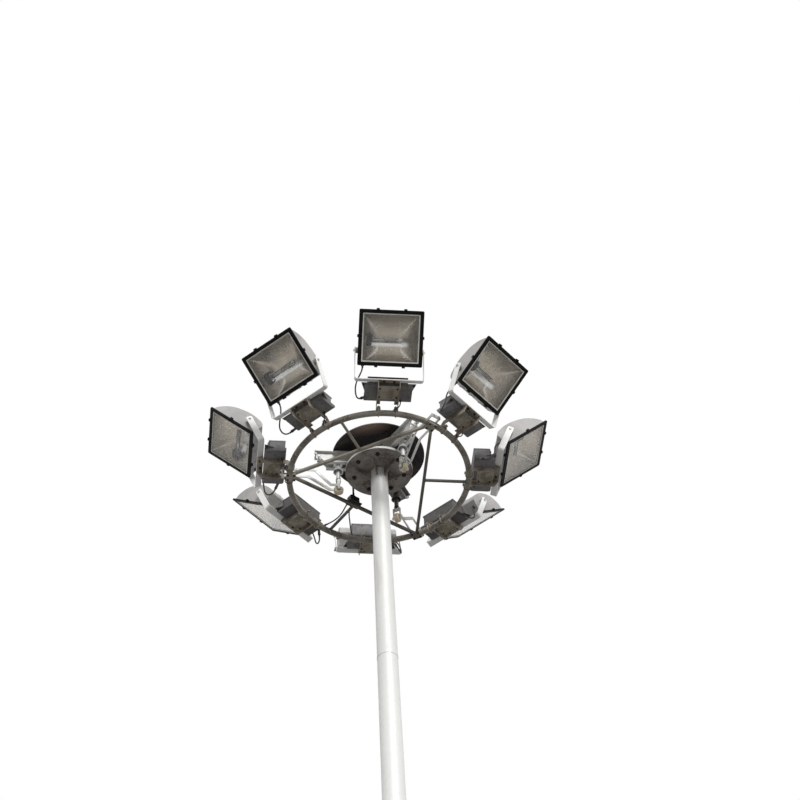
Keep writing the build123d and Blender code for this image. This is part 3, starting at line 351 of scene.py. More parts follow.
def zinc(name, colour, shade, rust, roughness=0.45, spangle=26.0, stretch=(1, 1, 1),
         rust_share=(0.66, 0.8), metallic=0.35, cloud_scale=1.6):
    """Hot-dip galvanising: crystals of slightly different grey, clouds of a duller shade and a
    little rust, its roughness following the crystals."""
    material, tree, shader, place = new_finish(name, roughness, metallic)
    cells = added(tree, "TexVoronoi", {"Vector": place, "Scale": spangle})["Color"]
    grey = added(tree, "SeparateColor", {"Color": cells})["Red"]
    crystal = blended(tree, spread(tree, grey, 0, 1, 0.0, 0.35), colour, shade)
    dull = spread(tree, cloud(tree, place, cloud_scale, 5.0, stretch), 0.42, 0.66, 0.0, 0.8)
    tone = blended(tree, dull, crystal, shade)
    spots = spread(tree, cloud(tree, place, 7.0, 8.0, stretch), *rust_share)
    rough = spread(tree, grey, 0, 1, roughness * 0.85, roughness * 1.2)
    grain = cloud(tree, place, 180.0, 3.0)
    surfaced(tree, shader, blended(tree, spots, tone, rust), rough, grain, 0.0002)
    return material


def revolved(profile, centre, axis, sides=32):
    """Profiles of radius and height turned about axes through their centres: the radius times
    cosine and sine of even steps, with the height along the axis."""
    centre = np.reshape(centre, (-1, 1, 1, 3))
    axis = unit(np.reshape(axis, (-1, 3)))
    side = unit(np.cross(axis, np.where(np.abs(axis[:, 2:]) < 0.9, [UP], [OUT])))
    front = np.cross(axis, side)
    radius, height = np.asarray(profile, float).T
    way = circle(1.0, sides)
    ring = way[:, :1] * side[:, None, None] + way[:, 1:] * front[:, None, None]
    return centre + radius[:, None, None] * ring + height[:, None, None] * axis[:, None, None]


def bolts(places, axis, size, stud=0.3):
    """Hexagon heads, each on a round washer, with the thread's end standing out: three profiles
    in multiples of the thread's size turned about each axis, the head's in six steps."""
    washer = [(0, 0), (1.05, 0), (1.05, 0.17), (0, 0.17)]
    head = [(0, 0.17), (0.92, 0.17), (0.92, 0.72), (0.8, 0.85), (0, 0.85)]
    thread = [(0.5, 0.85), (0.5, 0.8 + stud), (0.42, 0.86 + stud), (0, 0.86 + stud)]
    return [skin(revolved(np.multiply(profile, size), places, axis, sides))
            for profile, sides in ((washer, 20), (head, 6), (thread, 12))]


def all_round(points, angles):
    """The same points at each of several angles round the mast, in one list."""
    return np.concatenate([turned(points, degrees) for degrees in angles])


def bolts_round(spots, way, angles, size, stud=0.3):
    """Bolts at the same spots and pointing the same way at each of several angles."""
    return bolts(all_round(spots, angles), all_round([way] * len(spots), angles), size, stud)


def length_along(line):
    """Length of a line up to each of its points: the running sum of its steps."""
    return np.r_[0, np.cumsum(np.linalg.norm(np.diff(line, axis=0), axis=1))]


def bead(line, across, size, pitch=0.006):
    """Weld along a joint: a circle carried along it, half sunk, its size rippled by a cosine of
    the length like overlapping scales."""
    ripple = 1 + 0.14 * np.cos(2 * np.pi * length_along(line) / pitch)
    return skin(carried(circle(size, 8), line, across, ripple))


def straight(start, end, step=0.0015):
    """Points evenly along a straight line."""
    start, end = np.asarray(start, float), np.asarray(end, float)
    count = max(3, int(np.linalg.norm(end - start) / step))
    return start + np.linspace(0, 1, count)[:, None] * (end - start)


def hoop(radius, z, bulge, ripples=180):
    """Ring of weld round the mast: a circle carried round a circle, its size rippled."""
    round_way = np.arange(256) * 2 * np.pi / 256
    size = bulge * (1 + 0.12 * np.cos(ripples * round_way))[:, None]
    small = circle(1.0, 10)
    reach = radius + size * small[:, 0]
    return skin(np.stack([reach * np.cos(round_way)[:, None], reach * np.sin(round_way)[:, None],
                          z + size * small[:, 1]], -1), closed=(True, True))


def mast_r(z):
    """Radius of the upper tube's outside: it falls evenly from the ground to the top."""
    return MAST_BASE_R + (MAST_TOP_R - MAST_BASE_R) * z / MAST_TOP_Z


mast_zinc = zinc("mast_galvanising", (0.8, 0.8, 0.78), (0.66, 0.66, 0.64), (0.47, 0.42, 0.35),
                 roughness=0.5, spangle=30.0, stretch=(1, 1, 0.12), rust_share=(0.7, 0.86), metallic=0.15)
toned(mast_zinc, "DOT_PRODUCT", UP, 13.0, 0.2, (0.4, 0.39, 0.36), 0.6)
weld_zinc = zinc("weld_zinc", (0.62, 0.62, 0.6), (0.48, 0.47, 0.45), (0.38, 0.31, 0.24), roughness=0.5)
bolt_zinc = zinc("bolt_zinc", (0.55, 0.55, 0.54), (0.4, 0.4, 0.39), (0.3, 0.22, 0.15),
                 roughness=0.4, spangle=300.0, metallic=0.6, cloud_scale=30.0)
for node in ("base_flange", "lower_section", "upper_section", "winch_door"):
    painted(node, mast_zinc)
seams = [hoop(mast_r(MAST_TOP_Z - drop) - SEAM_SINK, MAST_TOP_Z - drop, SEAM_WELD) for drop in SEAM_DROPS]
seams.append(hoop(mast_r(FLANGE_T) - LOWER_STEP + FOOT_SINK, FLANGE_T + FOOT_SINK, FOOT_WELD))
for low, high, sink, stop in ((SLIP_HIGH, MAST_TOP_Z, LONG_SINK, LONG_STOP),
                              (GUSSET_CLEAR, SLIP_LOW, LOWER_STEP, SLIP_LIP)):
    way = straight((0, mast_r(low) - sink, low), (0, mast_r(high) - sink, high - stop), LONG_STEP)
    seams.append(bead(way, (1, 0, 0), LONG_WELD, LONG_PITCH))
made("mast_welds", seams, weld_zinc, "mast")
anchors = bolts_round([(ANCHOR_PCD_R, 0, FLANGE_T)], UP, LAMP_ANGLES, ANCHOR_D, ANCHOR_STUD)
locks = [(LOCK_SPOT, LOWER_STEP - LOCK_PROUD - mast_r(DOOR_MID), DOOR_MID + s * LOCK_HALF) for s in (-1, 1)]
lock_keys = skin(revolved(LOCK_KEY, locks, (0, -1, 0), 3))
made("anchor_nuts", anchors + [lock_keys], bolt_zinc, "mast")

# Head plate. A round 26 mm steel plate, its rim a light zinc band as a painted highlight, welded on
# the mast's top over six ribs and bolted up to the disc of the rope arms; its paint has gone mottled brown.
PLATE_Z, PLATE_RIM_R, PLATE_BOLT_D = MAST_TOP_Z, 0.3, 0.02
PLATE_BOLT_R, PLATE_BOLT_ANGLES = 0.228, -149.0 + np.arange(7) * 360 / 7
ODD_BOLT_R, ODD_BOLT_ANGLES = 0.164, (21.0,)
RIB_ANGLES, RIB_OUT_R, RIB_DROP, RIB_SIDE, RIB_WELD = 7.0 + np.arange(6) * 60.0, 0.205, 0.105, 0.0065, 0.004
TOP_WELD, TOP_SINK, TOP_RIPPLES = 0.006, 0.002, 80
RIM_BAND = [(-0.003, 0.0), (0.0004, 0.0), (0.0012, 0.003), (0.0012, 0.023), (0.0004, 0.026),
            (-0.003, 0.026)]


def beads(line, across, angles, size):
    """The same weld at each of several angles round the mast."""
    return [bead(turned(line, degrees), turned(across, degrees), size) for degrees in angles]


mottled = {"patch_share": (0.4, 0.62), "dirt_share": (0.52, 0.74)}
plate_paint = coat("plate_paint", (0.3, 0.28, 0.26), (0.155, 0.13, 0.125), (0.41, 0.355, 0.275), 0.55,
                   patch_scale=8.0, grain_scale=38.0, specular=0.12, **mottled)
painted("head_plate", plate_paint)
plate_welds = [hoop(MAST_TOP_R + RIB_WELD / 4, PLATE_Z - TOP_SINK, TOP_WELD, ripples=TOP_RIPPLES)]
for side in (-RIB_SIDE, RIB_SIDE):
    along = straight((MAST_TOP_R + RIB_WELD, side, PLATE_Z - RIB_WELD / 4),
                     (RIB_OUT_R, side, PLATE_Z - RIB_WELD / 4))
    down = straight((MAST_TOP_R + 0.25 * RIB_WELD, side, PLATE_Z - 1.5 * RIB_WELD),
                    (MAST_TOP_R + 0.4 * RIB_WELD, side, PLATE_Z - RIB_DROP))
    plate_welds += beads(along, UP, RIB_ANGLES, RIB_WELD) + beads(down, (0, 1, 0), RIB_ANGLES, RIB_WELD)
made("plate_welds", plate_welds, plate_paint, "mast")
rim_highlight_zinc = zinc("rim_highlight_zinc", (0.72, 0.71, 0.68), (0.52, 0.5, 0.46), (0.34, 0.27, 0.2), roughness=0.5,
                 spangle=60.0, rust_share=(0.56, 0.74), metallic=0.1, cloud_scale=6.0)
# The rim's light zinc band is a painted highlight along the plate's sunlit edge.
rim = revolved([(PLATE_RIM_R + out, rise) for out, rise in RIM_BAND], (0, 0, PLATE_Z), UP, 160)
made("plate_rim", [skin(rim, (True, True))], rim_highlight_zinc, "mast")
black_bolt = coat("blackened_bolt", (0.022, 0.02, 0.019), (0.045, 0.034, 0.026), (0.1, 0.065, 0.04),
                  patch_scale=60.0, grain_scale=400.0, specular=0.15)
plate_bolts = bolts_round([(PLATE_BOLT_R, 0, PLATE_Z)], DOWN, PLATE_BOLT_ANGLES, PLATE_BOLT_D)
plate_bolts += bolts_round([(ODD_BOLT_R, 0, PLATE_Z)], DOWN, ODD_BOLT_ANGLES, PLATE_BOLT_D)
made("plate_bolts", plate_bolts, black_bolt, "mast")

# Rope arms. Three pairs of galvanised channels back to back on a bolted disc, their outer ends
# cut on the slant. The sheaves' axles and the spacer bolts pass through both webs.
ARM_LOW, ARM_HIGH, ARM_FLANGE_T = RING_Z + 0.136, RING_Z + 0.276, 0.009
ARM_WEB_FACE, ARM_FLANGE_HALF, ARM_WELD = 0.03, 0.058, 0.004
ROPE_R, INNER_ROPE_R, SHEAVE_Z, SHEAVE_PITCH = 0.366, 0.03, RING_Z + 0.256, 0.06
OUTER_SHEAVE, INNER_SHEAVE = (ROPE_R - SHEAVE_PITCH, SHEAVE_Z), (INNER_ROPE_R + SHEAVE_PITCH, SHEAVE_Z)
SPACERS = [(0.538, RING_Z + 0.222), (0.564, RING_Z + 0.254), (0.44, RING_Z + 0.176)]
AXLE_D, SPACER_D, ARM_STUD, PAD_R, PAD_HALF_R, PAD_HALF_T = 0.02, 0.014, 0.05, 0.15, 0.05, 0.0465
DISC_WELD, DISC_WELD_Z = (0.064, 0.225), RING_Z + 0.122


def bolts_aside(spots, reach, angles, size, stud):
    """Bolts at spots of radius and height, on both sides of each angle's plane and away from it."""
    return [skins for s in (-1, 1)
            for skins in bolts_round([(r, s * reach, z) for r, z in spots], (0, s, 0), angles, size, stud)]


def four_corners(r, half_r, half_t, z):
    """Corners of a level rectangle whose middle is at a radius and a height."""
    return [(r + a * half_r, b * half_t, z) for a in (-1, 1) for b in (-1, 1)]


arm_zinc = zinc("arm_galvanising", (0.68, 0.68, 0.66), (0.5, 0.5, 0.48), (0.33, 0.26, 0.19),
                spangle=45.0, rust_share=(0.62, 0.78), metallic=0.2, cloud_scale=5.0)
# Painted shade: the far arm, under the hood and plate, is darkened round this point.
far_arm_shade_centre = (0.21, 0.37, RING_Z + 0.2)
toned(arm_zinc, "DISTANCE", far_arm_shade_centre, 0.42, 0.3, (0.075, 0.068, 0.062))
painted("head_arms", arm_zinc)
pads = four_corners(PAD_R, PAD_HALF_R, PAD_HALF_T, ARM_LOW + ARM_FLANGE_T)
arm_bolts = bolts_round(pads, UP, ARM_ANGLES, SPACER_D)
arm_bolts += bolts_aside((OUTER_SHEAVE, INNER_SHEAVE), ARM_WEB_FACE, ARM_ANGLES, AXLE_D, ARM_STUD)
arm_bolts += bolts_aside(SPACERS, ARM_WEB_FACE, ARM_ANGLES, SPACER_D, ARM_STUD)
made("arm_bolts", arm_bolts, bolt_zinc, "mast")
arm_welds = []
for side in (-ARM_FLANGE_HALF, ARM_FLANGE_HALF):
    joint = straight(*[(r, side, DISC_WELD_Z) for r in DISC_WELD])
    arm_welds += beads(joint, UP, ARM_ANGLES, ARM_WELD)
made("arm_welds", arm_welds, weld_zinc, "mast")

# Sheaves and lifting ropes. Each arm has two grooved steel sheaves; a 10 mm rope of six strands
# comes up out of the mast, over both, and drops to a pressed socket on the docking pin's nose.
ROPE_D, STRANDS, STRAND_OUT, STRAND_R, ROPE_LAY, ROPE_STEP = 0.01, 6, 0.32, 0.18, 0.065, 0.005
PIN_TOP, INSIDE_Z = RING_Z + 0.12, MAST_TOP_Z - 0.2
rope_steel = coat("rope_steel", (0.26, 0.25, 0.24), (0.17, 0.16, 0.15), (0.24, 0.16, 0.1), 0.45,
                  patch_scale=14.0, grain_scale=300.0, metallic=0.7)
sheave_steel = coat("sheave_steel", (0.2, 0.195, 0.19), (0.13, 0.125, 0.12), (0.22, 0.13, 0.08),
                    patch_scale=20.0, grain_scale=120.0, metallic=0.5)
painted("sheaves", sheave_steel)


def rope(line, across, diameter):
    """Laid rope: round strands on a helix about the line, its angle growing with the length."""
    rise = np.cross(unit(np.gradient(line, axis=0)), across)
    turn = 2 * np.pi * length_along(line) / ROPE_LAY
    skins = []
    for strand in range(STRANDS):
        lean = (turn + strand * 2 * np.pi / STRANDS)[:, None]
        way = line + STRAND_OUT * diameter * (np.cos(lean) * across + np.sin(lean) * rise)
        skins.append(skin(carried(circle(STRAND_R * diameter, 7), way, across)))
    return skins


def arc(centre, radius, start, end, count=24):
    """Points of an arc in the plane of radius and height, angles in degrees from outwards."""
    turn = np.radians(np.linspace(start, end, count))
    return np.stack([centre[0] + radius * np.cos(turn), 0 * turn, centre[1] + radius * np.sin(turn)], -1)


over_head = np.concatenate([
    arc(OUTER_SHEAVE, SHEAVE_PITCH, 0.5, 90),
    straight(*[(r, 0, z + SHEAVE_PITCH) for r, z in (OUTER_SHEAVE, INNER_SHEAVE)], 0.8 * ROPE_STEP)[1:-1],
    arc(INNER_SHEAVE, SHEAVE_PITCH, 90, 180),
    straight((INNER_ROPE_R, 0, SHEAVE_Z), (INNER_ROPE_R, 0, INSIDE_Z), ROPE_STEP)[1:]])
drop = straight((ROPE_R, 0, PIN_TOP), (ROPE_R, 0, SHEAVE_Z), ROPE_STEP)
for name, line, node, body in (("head_rope", over_head, "head_ropes", "mast"),
                               ("lifting_rope", drop, "lifting_ropes", "carriage")):
    for k, degrees in enumerate(ARM_ANGLES, 1):
        laid = rope(turned(line, degrees), turned((0, 1, 0), degrees), ROPE_D)
        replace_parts(made(f"{name}_{k}", laid, rope_steel, body), node)

# Bell sockets. Spun zinc-plated cones that catch the docking pins, on sleeves between the webs;
# those of the far arm are darkened with painted shade, as the arm is.
bell_zinc = zinc("bell_plating", (0.66, 0.66, 0.66), (0.52, 0.52, 0.51), (0.36, 0.3, 0.24),
                 roughness=0.38, spangle=160.0, metallic=0.5, cloud_scale=18.0)
toned(bell_zinc, "DISTANCE", far_arm_shade_centre, 0.42, 0.3, (0.1, 0.09, 0.08))
painted("bell_sockets", bell_zinc)

# Rain hood. A shallow dome spun from 4 mm sheet with a rolled edge, on six posts that stand on
# the arms; its dark paint has gone brown in patches.
POST_NUT_R, POST_HALF, POST_NUT_D = 0.194, 0.046, 0.008
hood_paint = coat("hood_paint", (0.075, 0.072, 0.074), (0.33, 0.225, 0.18), (0.14, 0.12, 0.115), 0.55,
                  patch_scale=3.8, grain_scale=26.0, patch_share=(0.6, 0.76), dirt_share=(0.46, 0.78),
                  specular=0.12)
toned(hood_paint, "DISTANCE", (-0.1, -0.28, RING_Z + 0.33), 0.2, 0.06, (0.58, 0.43, 0.36), 0.75)
painted("rain_hood", hood_paint)
feet = [(POST_NUT_R, s * POST_HALF, ARM_HIGH) for s in (-1, 1)]
made("post_nuts", bolts_round(feet, UP, ARM_ANGLES, POST_NUT_D), bolt_zinc, "mast")

# Carriage ring. A 54 mm steel tube rolled to 1.6 m across, with a triangle of square bars welded
# inside it, ties to the ring, and a plate bolted under each corner.
RING_R, RING_TUBE_R, TUBE_SINK = 0.8, 0.027, 0.0005
CHORD_FACE_R, TIE_ANGLES, TIE_SIDE, TIE_HALF, TIE_WELD = 0.4135, (0.0, 120.0, 240.0), 0.0115, 0.01, 0.0035
CORNER_R, CORNER_LOW, CORNER_BOLT, CORNER_BOLT_D = 0.788, RING_Z - 0.033, 0.028, 0.01
mottled.update(patch_scale=7.0, grain_scale=48.0, specular=0.15)
ring_paint = coat("ring_paint", (0.32, 0.3, 0.26), (0.155, 0.135, 0.115), (0.44, 0.385, 0.3), **mottled)
bar_paint_and_shade = coat("bar_paint_and_shade", (0.38, 0.35, 0.3), (0.24, 0.215, 0.18), (0.44, 0.385, 0.3), **mottled)
# Painted shade: the chords, ties and welds away from the near chord are darkened, as their faces lie in
# shade.
toned(bar_paint_and_shade, "DOT_PRODUCT", (0.5, 0.866, 0), -0.36, -0.24, (0.085, 0.078, 0.068), 0.8)
painted("carriage_ring", ring_paint)
painted("ring_bars", bar_paint_and_shade)
ring_welds = []
for s in (-TIE_SIDE, TIE_SIDE):
    for r in (RING_R - RING_TUBE_R - TUBE_SINK, CHORD_FACE_R):
        joint = straight((r, s, RING_Z - TIE_HALF), (r, s, RING_Z + TIE_HALF))
        ring_welds += beads(joint, OUT, TIE_ANGLES, TIE_WELD)
    joint = straight((CHORD_FACE_R, -TIE_HALF, RING_Z + s), (CHORD_FACE_R, TIE_HALF, RING_Z + s))
    ring_welds += beads(joint, UP, TIE_ANGLES, TIE_WELD)
made("ring_welds", ring_welds, bar_paint_and_shade, "carriage")
spots = four_corners(CORNER_R, CORNER_BOLT, CORNER_BOLT, CORNER_LOW)
corner_bolts = bolts_round(spots, DOWN, ARM_ANGLES, CORNER_BOLT_D)
made("corner_bolts", corner_bolts, black_bolt, "carriage")

# Suspension arms. Pairs of galvanised flat bars that cross the ring, bend down to the fork of
# the docking pin and hold the guide wheel's axle between their cheeks.
PIN_R, AXLE_Z, CHEEK_FACE, AXLE_NUT_D = 0.366, RING_Z - 0.17, 0.036, 0.014
END_FACE_R, END_BOLT_SIDE, END_BOLT_Z, END_BOLT_D = 0.87, 0.026, RING_Z + 0.034, 0.012
strap_zinc = zinc("strap_galvanising", (0.62, 0.62, 0.6), (0.46, 0.46, 0.44), (0.33, 0.26, 0.19),
                  spangle=45.0, rust_share=(0.6, 0.76), metallic=0.2, cloud_scale=5.0)
painted("suspension_arms", strap_zinc)
arm_nuts = bolts_aside([(PIN_R, AXLE_Z)], CHEEK_FACE, ARM_ANGLES, AXLE_NUT_D, 0.1)
bar_ends = [(END_FACE_R, s * END_BOLT_SIDE, END_BOLT_Z) for s in (-1, 1)]
arm_nuts += bolts_round(bar_ends, OUT, ARM_ANGLES, END_BOLT_D)
made("suspension_nuts", arm_nuts, bolt_zinc, "carriage")

# Docking pins. Turned steel pins with a round nose in a pressed rope socket, each over a black
# rubber buffer that the bell's mouth stops on.
SHANK = [(0, -0.066), (0.01, -0.066), (0.01, -0.061), (0.02, -0.061), (0.02, 0.066), (0.0195, 0.07),
         (0.0165, 0.09), (0.0155, 0.093), (0.0095, 0.107), (0.009, 0.11), (0.009, 0.12), (0, 0.12)]
BUFFER = [(0.0195, -0.061), (0.0215, -0.061), (0.023, -0.0585), (0.023, -0.05), (0.0222, -0.047),
          (0.023, -0.044), (0.023, -0.0355), (0.0215, -0.033), (0.0195, -0.033)]
FERRULE = [(0.0095, 0.108), (0.0095, 0.119), (0.008, 0.122), (0.0078, 0.144), (0.0062, 0.148),
           (0.0045, 0.148)]
pin_feet = all_round([(PIN_R, 0, RING_Z)], ARM_ANGLES)
# The far arm's pin takes the same painted shade as its bell.
pins = [skin(revolved(profile, pin_feet, UP, sides))
        for profile, sides in ((SHANK, 40), (BUFFER, 40), (FERRULE, 24))]
turned_pins = made("docking_pins_turned", pins, [bell_zinc, rubber, rope_steel], "carriage")
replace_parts(turned_pins, "docking_pins")

# Guide wheels. Cream nylon rollers with a crowned tread, each on a rusty steel bush.
BUSH = [(0.0083, -0.0185), (0.015, -0.0185), (0.016, -0.0175), (0.016, 0.0175), (0.015, 0.0185),
        (0.0083, 0.0185)]
nylon = coat("wheel_nylon", (0.66, 0.58, 0.42), (0.52, 0.42, 0.28), (0.27, 0.18, 0.11), 0.42,
             patch_scale=24.0, grain_scale=130.0, patch_share=(0.45, 0.65), dirt_share=(0.58, 0.8))
bush_steel = coat("bush_steel", (0.16, 0.1, 0.065), (0.11, 0.065, 0.045), (0.24, 0.15, 0.09), 0.6,
                  patch_scale=60.0, grain_scale=400.0, metallic=0.2)
for k, degrees in enumerate(ARM_ANGLES, 1):
    painted(f"guide_wheel_{k}", nylon)
    bush = skin(revolved(BUSH, turned((PIN_R, 0, AXLE_Z), degrees), turned((0, 1, 0), degrees)))
    made(f"wheel_bush_{k}", [bush], bush_steel, f"guide_wheel_{k}")

# Cable glands. Moulded hexagon nuts with a domed seal and a tapered sleeve, screwed on where a
# flex enters the socket box, the ring, a gear tray or a floodlight.
BOX_NUT_R, JOIN_NUT_R, LEAD_NUT_R, LAMP_NUT_R, SUPPLY_NUT_R = 0.009, 0.01, 0.012, 0.013, 0.017
SHORT_SLEEVE, SLEEVE, LONG_SLEEVE = 0.012, 0.02, 0.04
SOCKET_BOX_R, SOCKET_LID_Z, SCREW_OUT, SCREW_SIDE, SCREW_D = 0.404, RING_Z + 0.088, 0.024, 0.038, 0.006
gland_black = coat("gland_moulding", (0.014, 0.014, 0.015), (0.026, 0.025, 0.024), (0.06, 0.056, 0.05),
                   patch_scale=30.0, grain_scale=260.0, specular=0.2)
painted("supply_junction", gland_black)


def gland(route, nut_r, diameter, degrees, sleeve=SLEEVE):
    """Gland nut, seal and sleeve where a route starts: two profiles turned about the line from
    its first point to its second, the nut's in six steps."""
    end, inner = turned(at_ring(route[:2]), degrees)
    cable_r = diameter / 2
    nut = [(0, -0.012), (1.15 * nut_r, -0.012), (1.15 * nut_r, -0.003), (nut_r, -0.001), (0, -0.001)]
    seal = [(0, -0.002), (0.96 * nut_r, -0.002), (0.9 * nut_r, 0.0015), (cable_r + 0.0018, 0.003),
            (cable_r + 0.0014, sleeve), (cable_r - 0.001, sleeve + 0.0005)]
    return [skin(revolved(profile, end, inner - end, sides)) for profile, sides in ((nut, 6), (seal, 20))]


glands = gland(SUPPLY_ROUTE, SUPPLY_NUT_R, SUPPLY_D, CABLE_ANGLE, LONG_SLEEVE)
for degrees in LAMP_ANGLES:
    glands += gland(LEAD_ROUTE[::-1], LEAD_NUT_R, LEAD_D, degrees)
    for way in (BOX_ROUTE, BOX_ROUTE[::-1]):
        glands += gland(way, BOX_NUT_R, BOX_LEAD_D, degrees, SHORT_SLEEVE)
for way in (TRAY_ROUTE, RING_ROUTE):
    glands += gland(way, JOIN_NUT_R, JOIN_D, CABLE_ANGLE)
    glands += gland(way[::-1], BOX_NUT_R, JOIN_D, CABLE_ANGLE)
made("carriage_glands", glands, gland_black, "carriage")
spots = four_corners(SOCKET_BOX_R, SCREW_OUT, SCREW_SIDE, SOCKET_LID_Z)
lid_screws = bolts_round(spots, UP, [CABLE_ANGLE], SCREW_D, 0.0)
made("socket_box_screws", lid_screws, bolt_zinc, "carriage")

# Mounting brackets. Folded sheet on two saddles each, held to the ring by U-bolts with clamp
# plates; the gear tray and the yoke's seat are bolted to them.
SADDLE_SIDE, U_REACH, U_ROD_R, U_STEP, U_NUT_D = 0.075, 0.0325, 0.005, 0.01, 0.01
CLAMP_LOW, CLAMP_HIGH, CLAMP_HALF_L, CLAMP_HALF_W = 0.033, 0.039, 0.043, 0.015
YOKE_BASE_R, YOKE_BASE_Z, YOKE_LEAN = 1.064, 0.125, math.radians(21.5)
YOKE_BOLT_SIDE, YOKE_BOLT_D, SEAT_OVER, SEAT_UNDER = 0.045, 0.012, 0.006, -0.005
grimy = {"patch_share": (0.42, 0.6), "dirt_share": (0.54, 0.76), "specular": 0.12}
bracket_paint = coat("bracket_paint", (0.4, 0.36, 0.3), (0.22, 0.19, 0.15), (0.55, 0.46, 0.33),
                     patch_scale=9.0, **grimy)
painted("mounting_brackets", bracket_paint)


def slabs(low, high, soft=0.0008):
    """Flat block over the ring at each floodlight's angle: a rectangle with its corners cut off,
    carried over its thickness."""
    low, high = np.asarray(low, float), np.asarray(high, float)
    half = (high - low) / 2
    middle = (high + low) / 2
    cuts = ((1, 1, soft), (1, 1, 0), (1, -1, 0), (1, -1, soft),
            (-1, -1, soft), (-1, -1, 0), (-1, 1, 0), (-1, 1, soft))
    outline = [(x * (half[0] - cut), y * (half[1] - soft + cut)) for x, y, cut in cuts]
    heights = np.array([0, soft, 2 * half[2] - soft, 2 * half[2]])
    line = np.stack([0 * heights + middle[0], 0 * heights + middle[1], heights + low[2]], -1)
    shrink = np.array([1 - soft / half[0], 1, 1, 1 - soft / half[0]])
    block = at_ring(carried(outline, line, OUT, shrink))
    return [skin(turned(block, degrees)) for degrees in LAMP_ANGLES]


u_line = np.concatenate([straight((RING_R - U_REACH, 0, CLAMP_HIGH), (RING_R - U_REACH, 0, 0), U_STEP)[:-1],
                         arc((RING_R, 0), U_REACH, 180, 360, 20),
                         straight((RING_R + U_REACH, 0, 0), (RING_R + U_REACH, 0, CLAMP_HIGH), U_STEP)[1:]])
clamps = []
for t in (-SADDLE_SIDE, SADDLE_SIDE):
    rod = carried(circle(U_ROD_R, 10), at_ring(u_line + (0, t, 0)), (0, 1, 0))
    clamps += [skin(turned(rod, degrees)) for degrees in LAMP_ANGLES]
    clamps += slabs((RING_R - CLAMP_HALF_L, t - CLAMP_HALF_W, CLAMP_LOW),
                    (RING_R + CLAMP_HALF_L, t + CLAMP_HALF_W, CLAMP_HIGH))
ends = at_ring(four_corners(RING_R, U_REACH, SADDLE_SIDE, CLAMP_HIGH))
clamps += bolts_round(ends, UP, LAMP_ANGLES, U_NUT_D, 0.6)
made("ring_clamps", clamps, bracket_paint, "carriage")
seat_up = np.array((math.sin(YOKE_LEAN), 0, math.cos(YOKE_LEAN)))
seat = at_ring((YOKE_BASE_R, 0, YOKE_BASE_Z))
yoke_bolts = []
for lift in (SEAT_OVER, SEAT_UNDER):
    spots = [seat + lift * seat_up + (0, t, 0) for t in (-YOKE_BOLT_SIDE, YOKE_BOLT_SIDE)]
    yoke_bolts += bolts_round(spots, np.sign(lift) * seat_up, LAMP_ANGLES, YOKE_BOLT_D)
made("yoke_seat_bolts", yoke_bolts, black_bolt, "carriage")

# Gear boxes. Sheet-steel trays with rolled lower edges and a closed box for the ballast, with a thin
# black plate outside whose black also stands in for the floodlight's shade there, a lid with a
# turned-down lip, and bolts through the tray's ears.
BOX_IN_R, BOX_OUT_R, BOX_HALF, BOX_HIGH = 0.845, 0.99, 0.175, 0.254
LID_LAP, LID_LIP, LID_OVER, LID_SOFT = 0.002, 0.014, 0.001, 0.0012
COVER_R, COVER_T, COVER_HALF, COVER_LOW, COVER_HIGH = 0.996, 0.0025, 0.17, 0.1465, 0.2415
COVER_SCREWS = [(COVER_R + COVER_T, t, z) for t in (-0.155, 0, 0.155) for z in (0.158, 0.23)]
EAR_BOLTS = [(1.012, t, 0.134) for t in (-0.222, 0.222)]
TRAY_BOLTS = four_corners(0.955, 0.05, 0.075, 0.089)
COVER_SCREW_D, EAR_BOLT_D, EAR_T, TRAY_BOLT_D = 0.006, 0.01, 0.004, 0.008
gear_paint = coat("gear_paint", (0.235, 0.23, 0.232), (0.15, 0.145, 0.145), (0.12, 0.1, 0.08),
                  patch_scale=5.0, grain_scale=34.0, **grimy)
# The boxes and lids at 45 and 135 degrees round the mast are made darker.
for darkening in ((-0.66, 0.66, RING_Z + 0.15), (0.66, 0.66, RING_Z + 0.15)):
    toned(gear_paint, "DISTANCE", darkening, 0.4, 0.28, (0.085, 0.08, 0.078), 0.8)
painted("gear_boxes", gear_paint)
# A thin black plate on each box's outer face; its black also stands in for the shade the floodlight casts
# there.
black_plates_and_shade = slabs((COVER_R, -COVER_HALF, COVER_LOW), (COVER_R + COVER_T, COVER_HALF, COVER_HIGH))
made("box_black_plates_and_shade", black_plates_and_shade, black_bolt, "carriage")
lids = slabs((BOX_IN_R - LID_LAP, -BOX_HALF - LID_LAP, BOX_HIGH - LID_LIP),
             (BOX_OUT_R + LID_LAP, BOX_HALF + LID_LAP, BOX_HIGH + LID_OVER), LID_SOFT)
made("box_lids", lids, gear_paint, "carriage")
gear_bolts = bolts_round(at_ring(COVER_SCREWS), OUT, LAMP_ANGLES, COVER_SCREW_D, 0.0)
gear_bolts += bolts_round(at_ring(EAR_BOLTS), UP, LAMP_ANGLES, EAR_BOLT_D)
gear_bolts += bolts_round(at_ring(EAR_BOLTS) - (0, 0, EAR_T), DOWN, LAMP_ANGLES, EAR_BOLT_D)
gear_bolts += bolts_round(at_ring(TRAY_BOLTS), DOWN, LAMP_ANGLES, TRAY_BOLT_D)
made("gear_bolts", gear_bolts, black_bolt, "carriage")

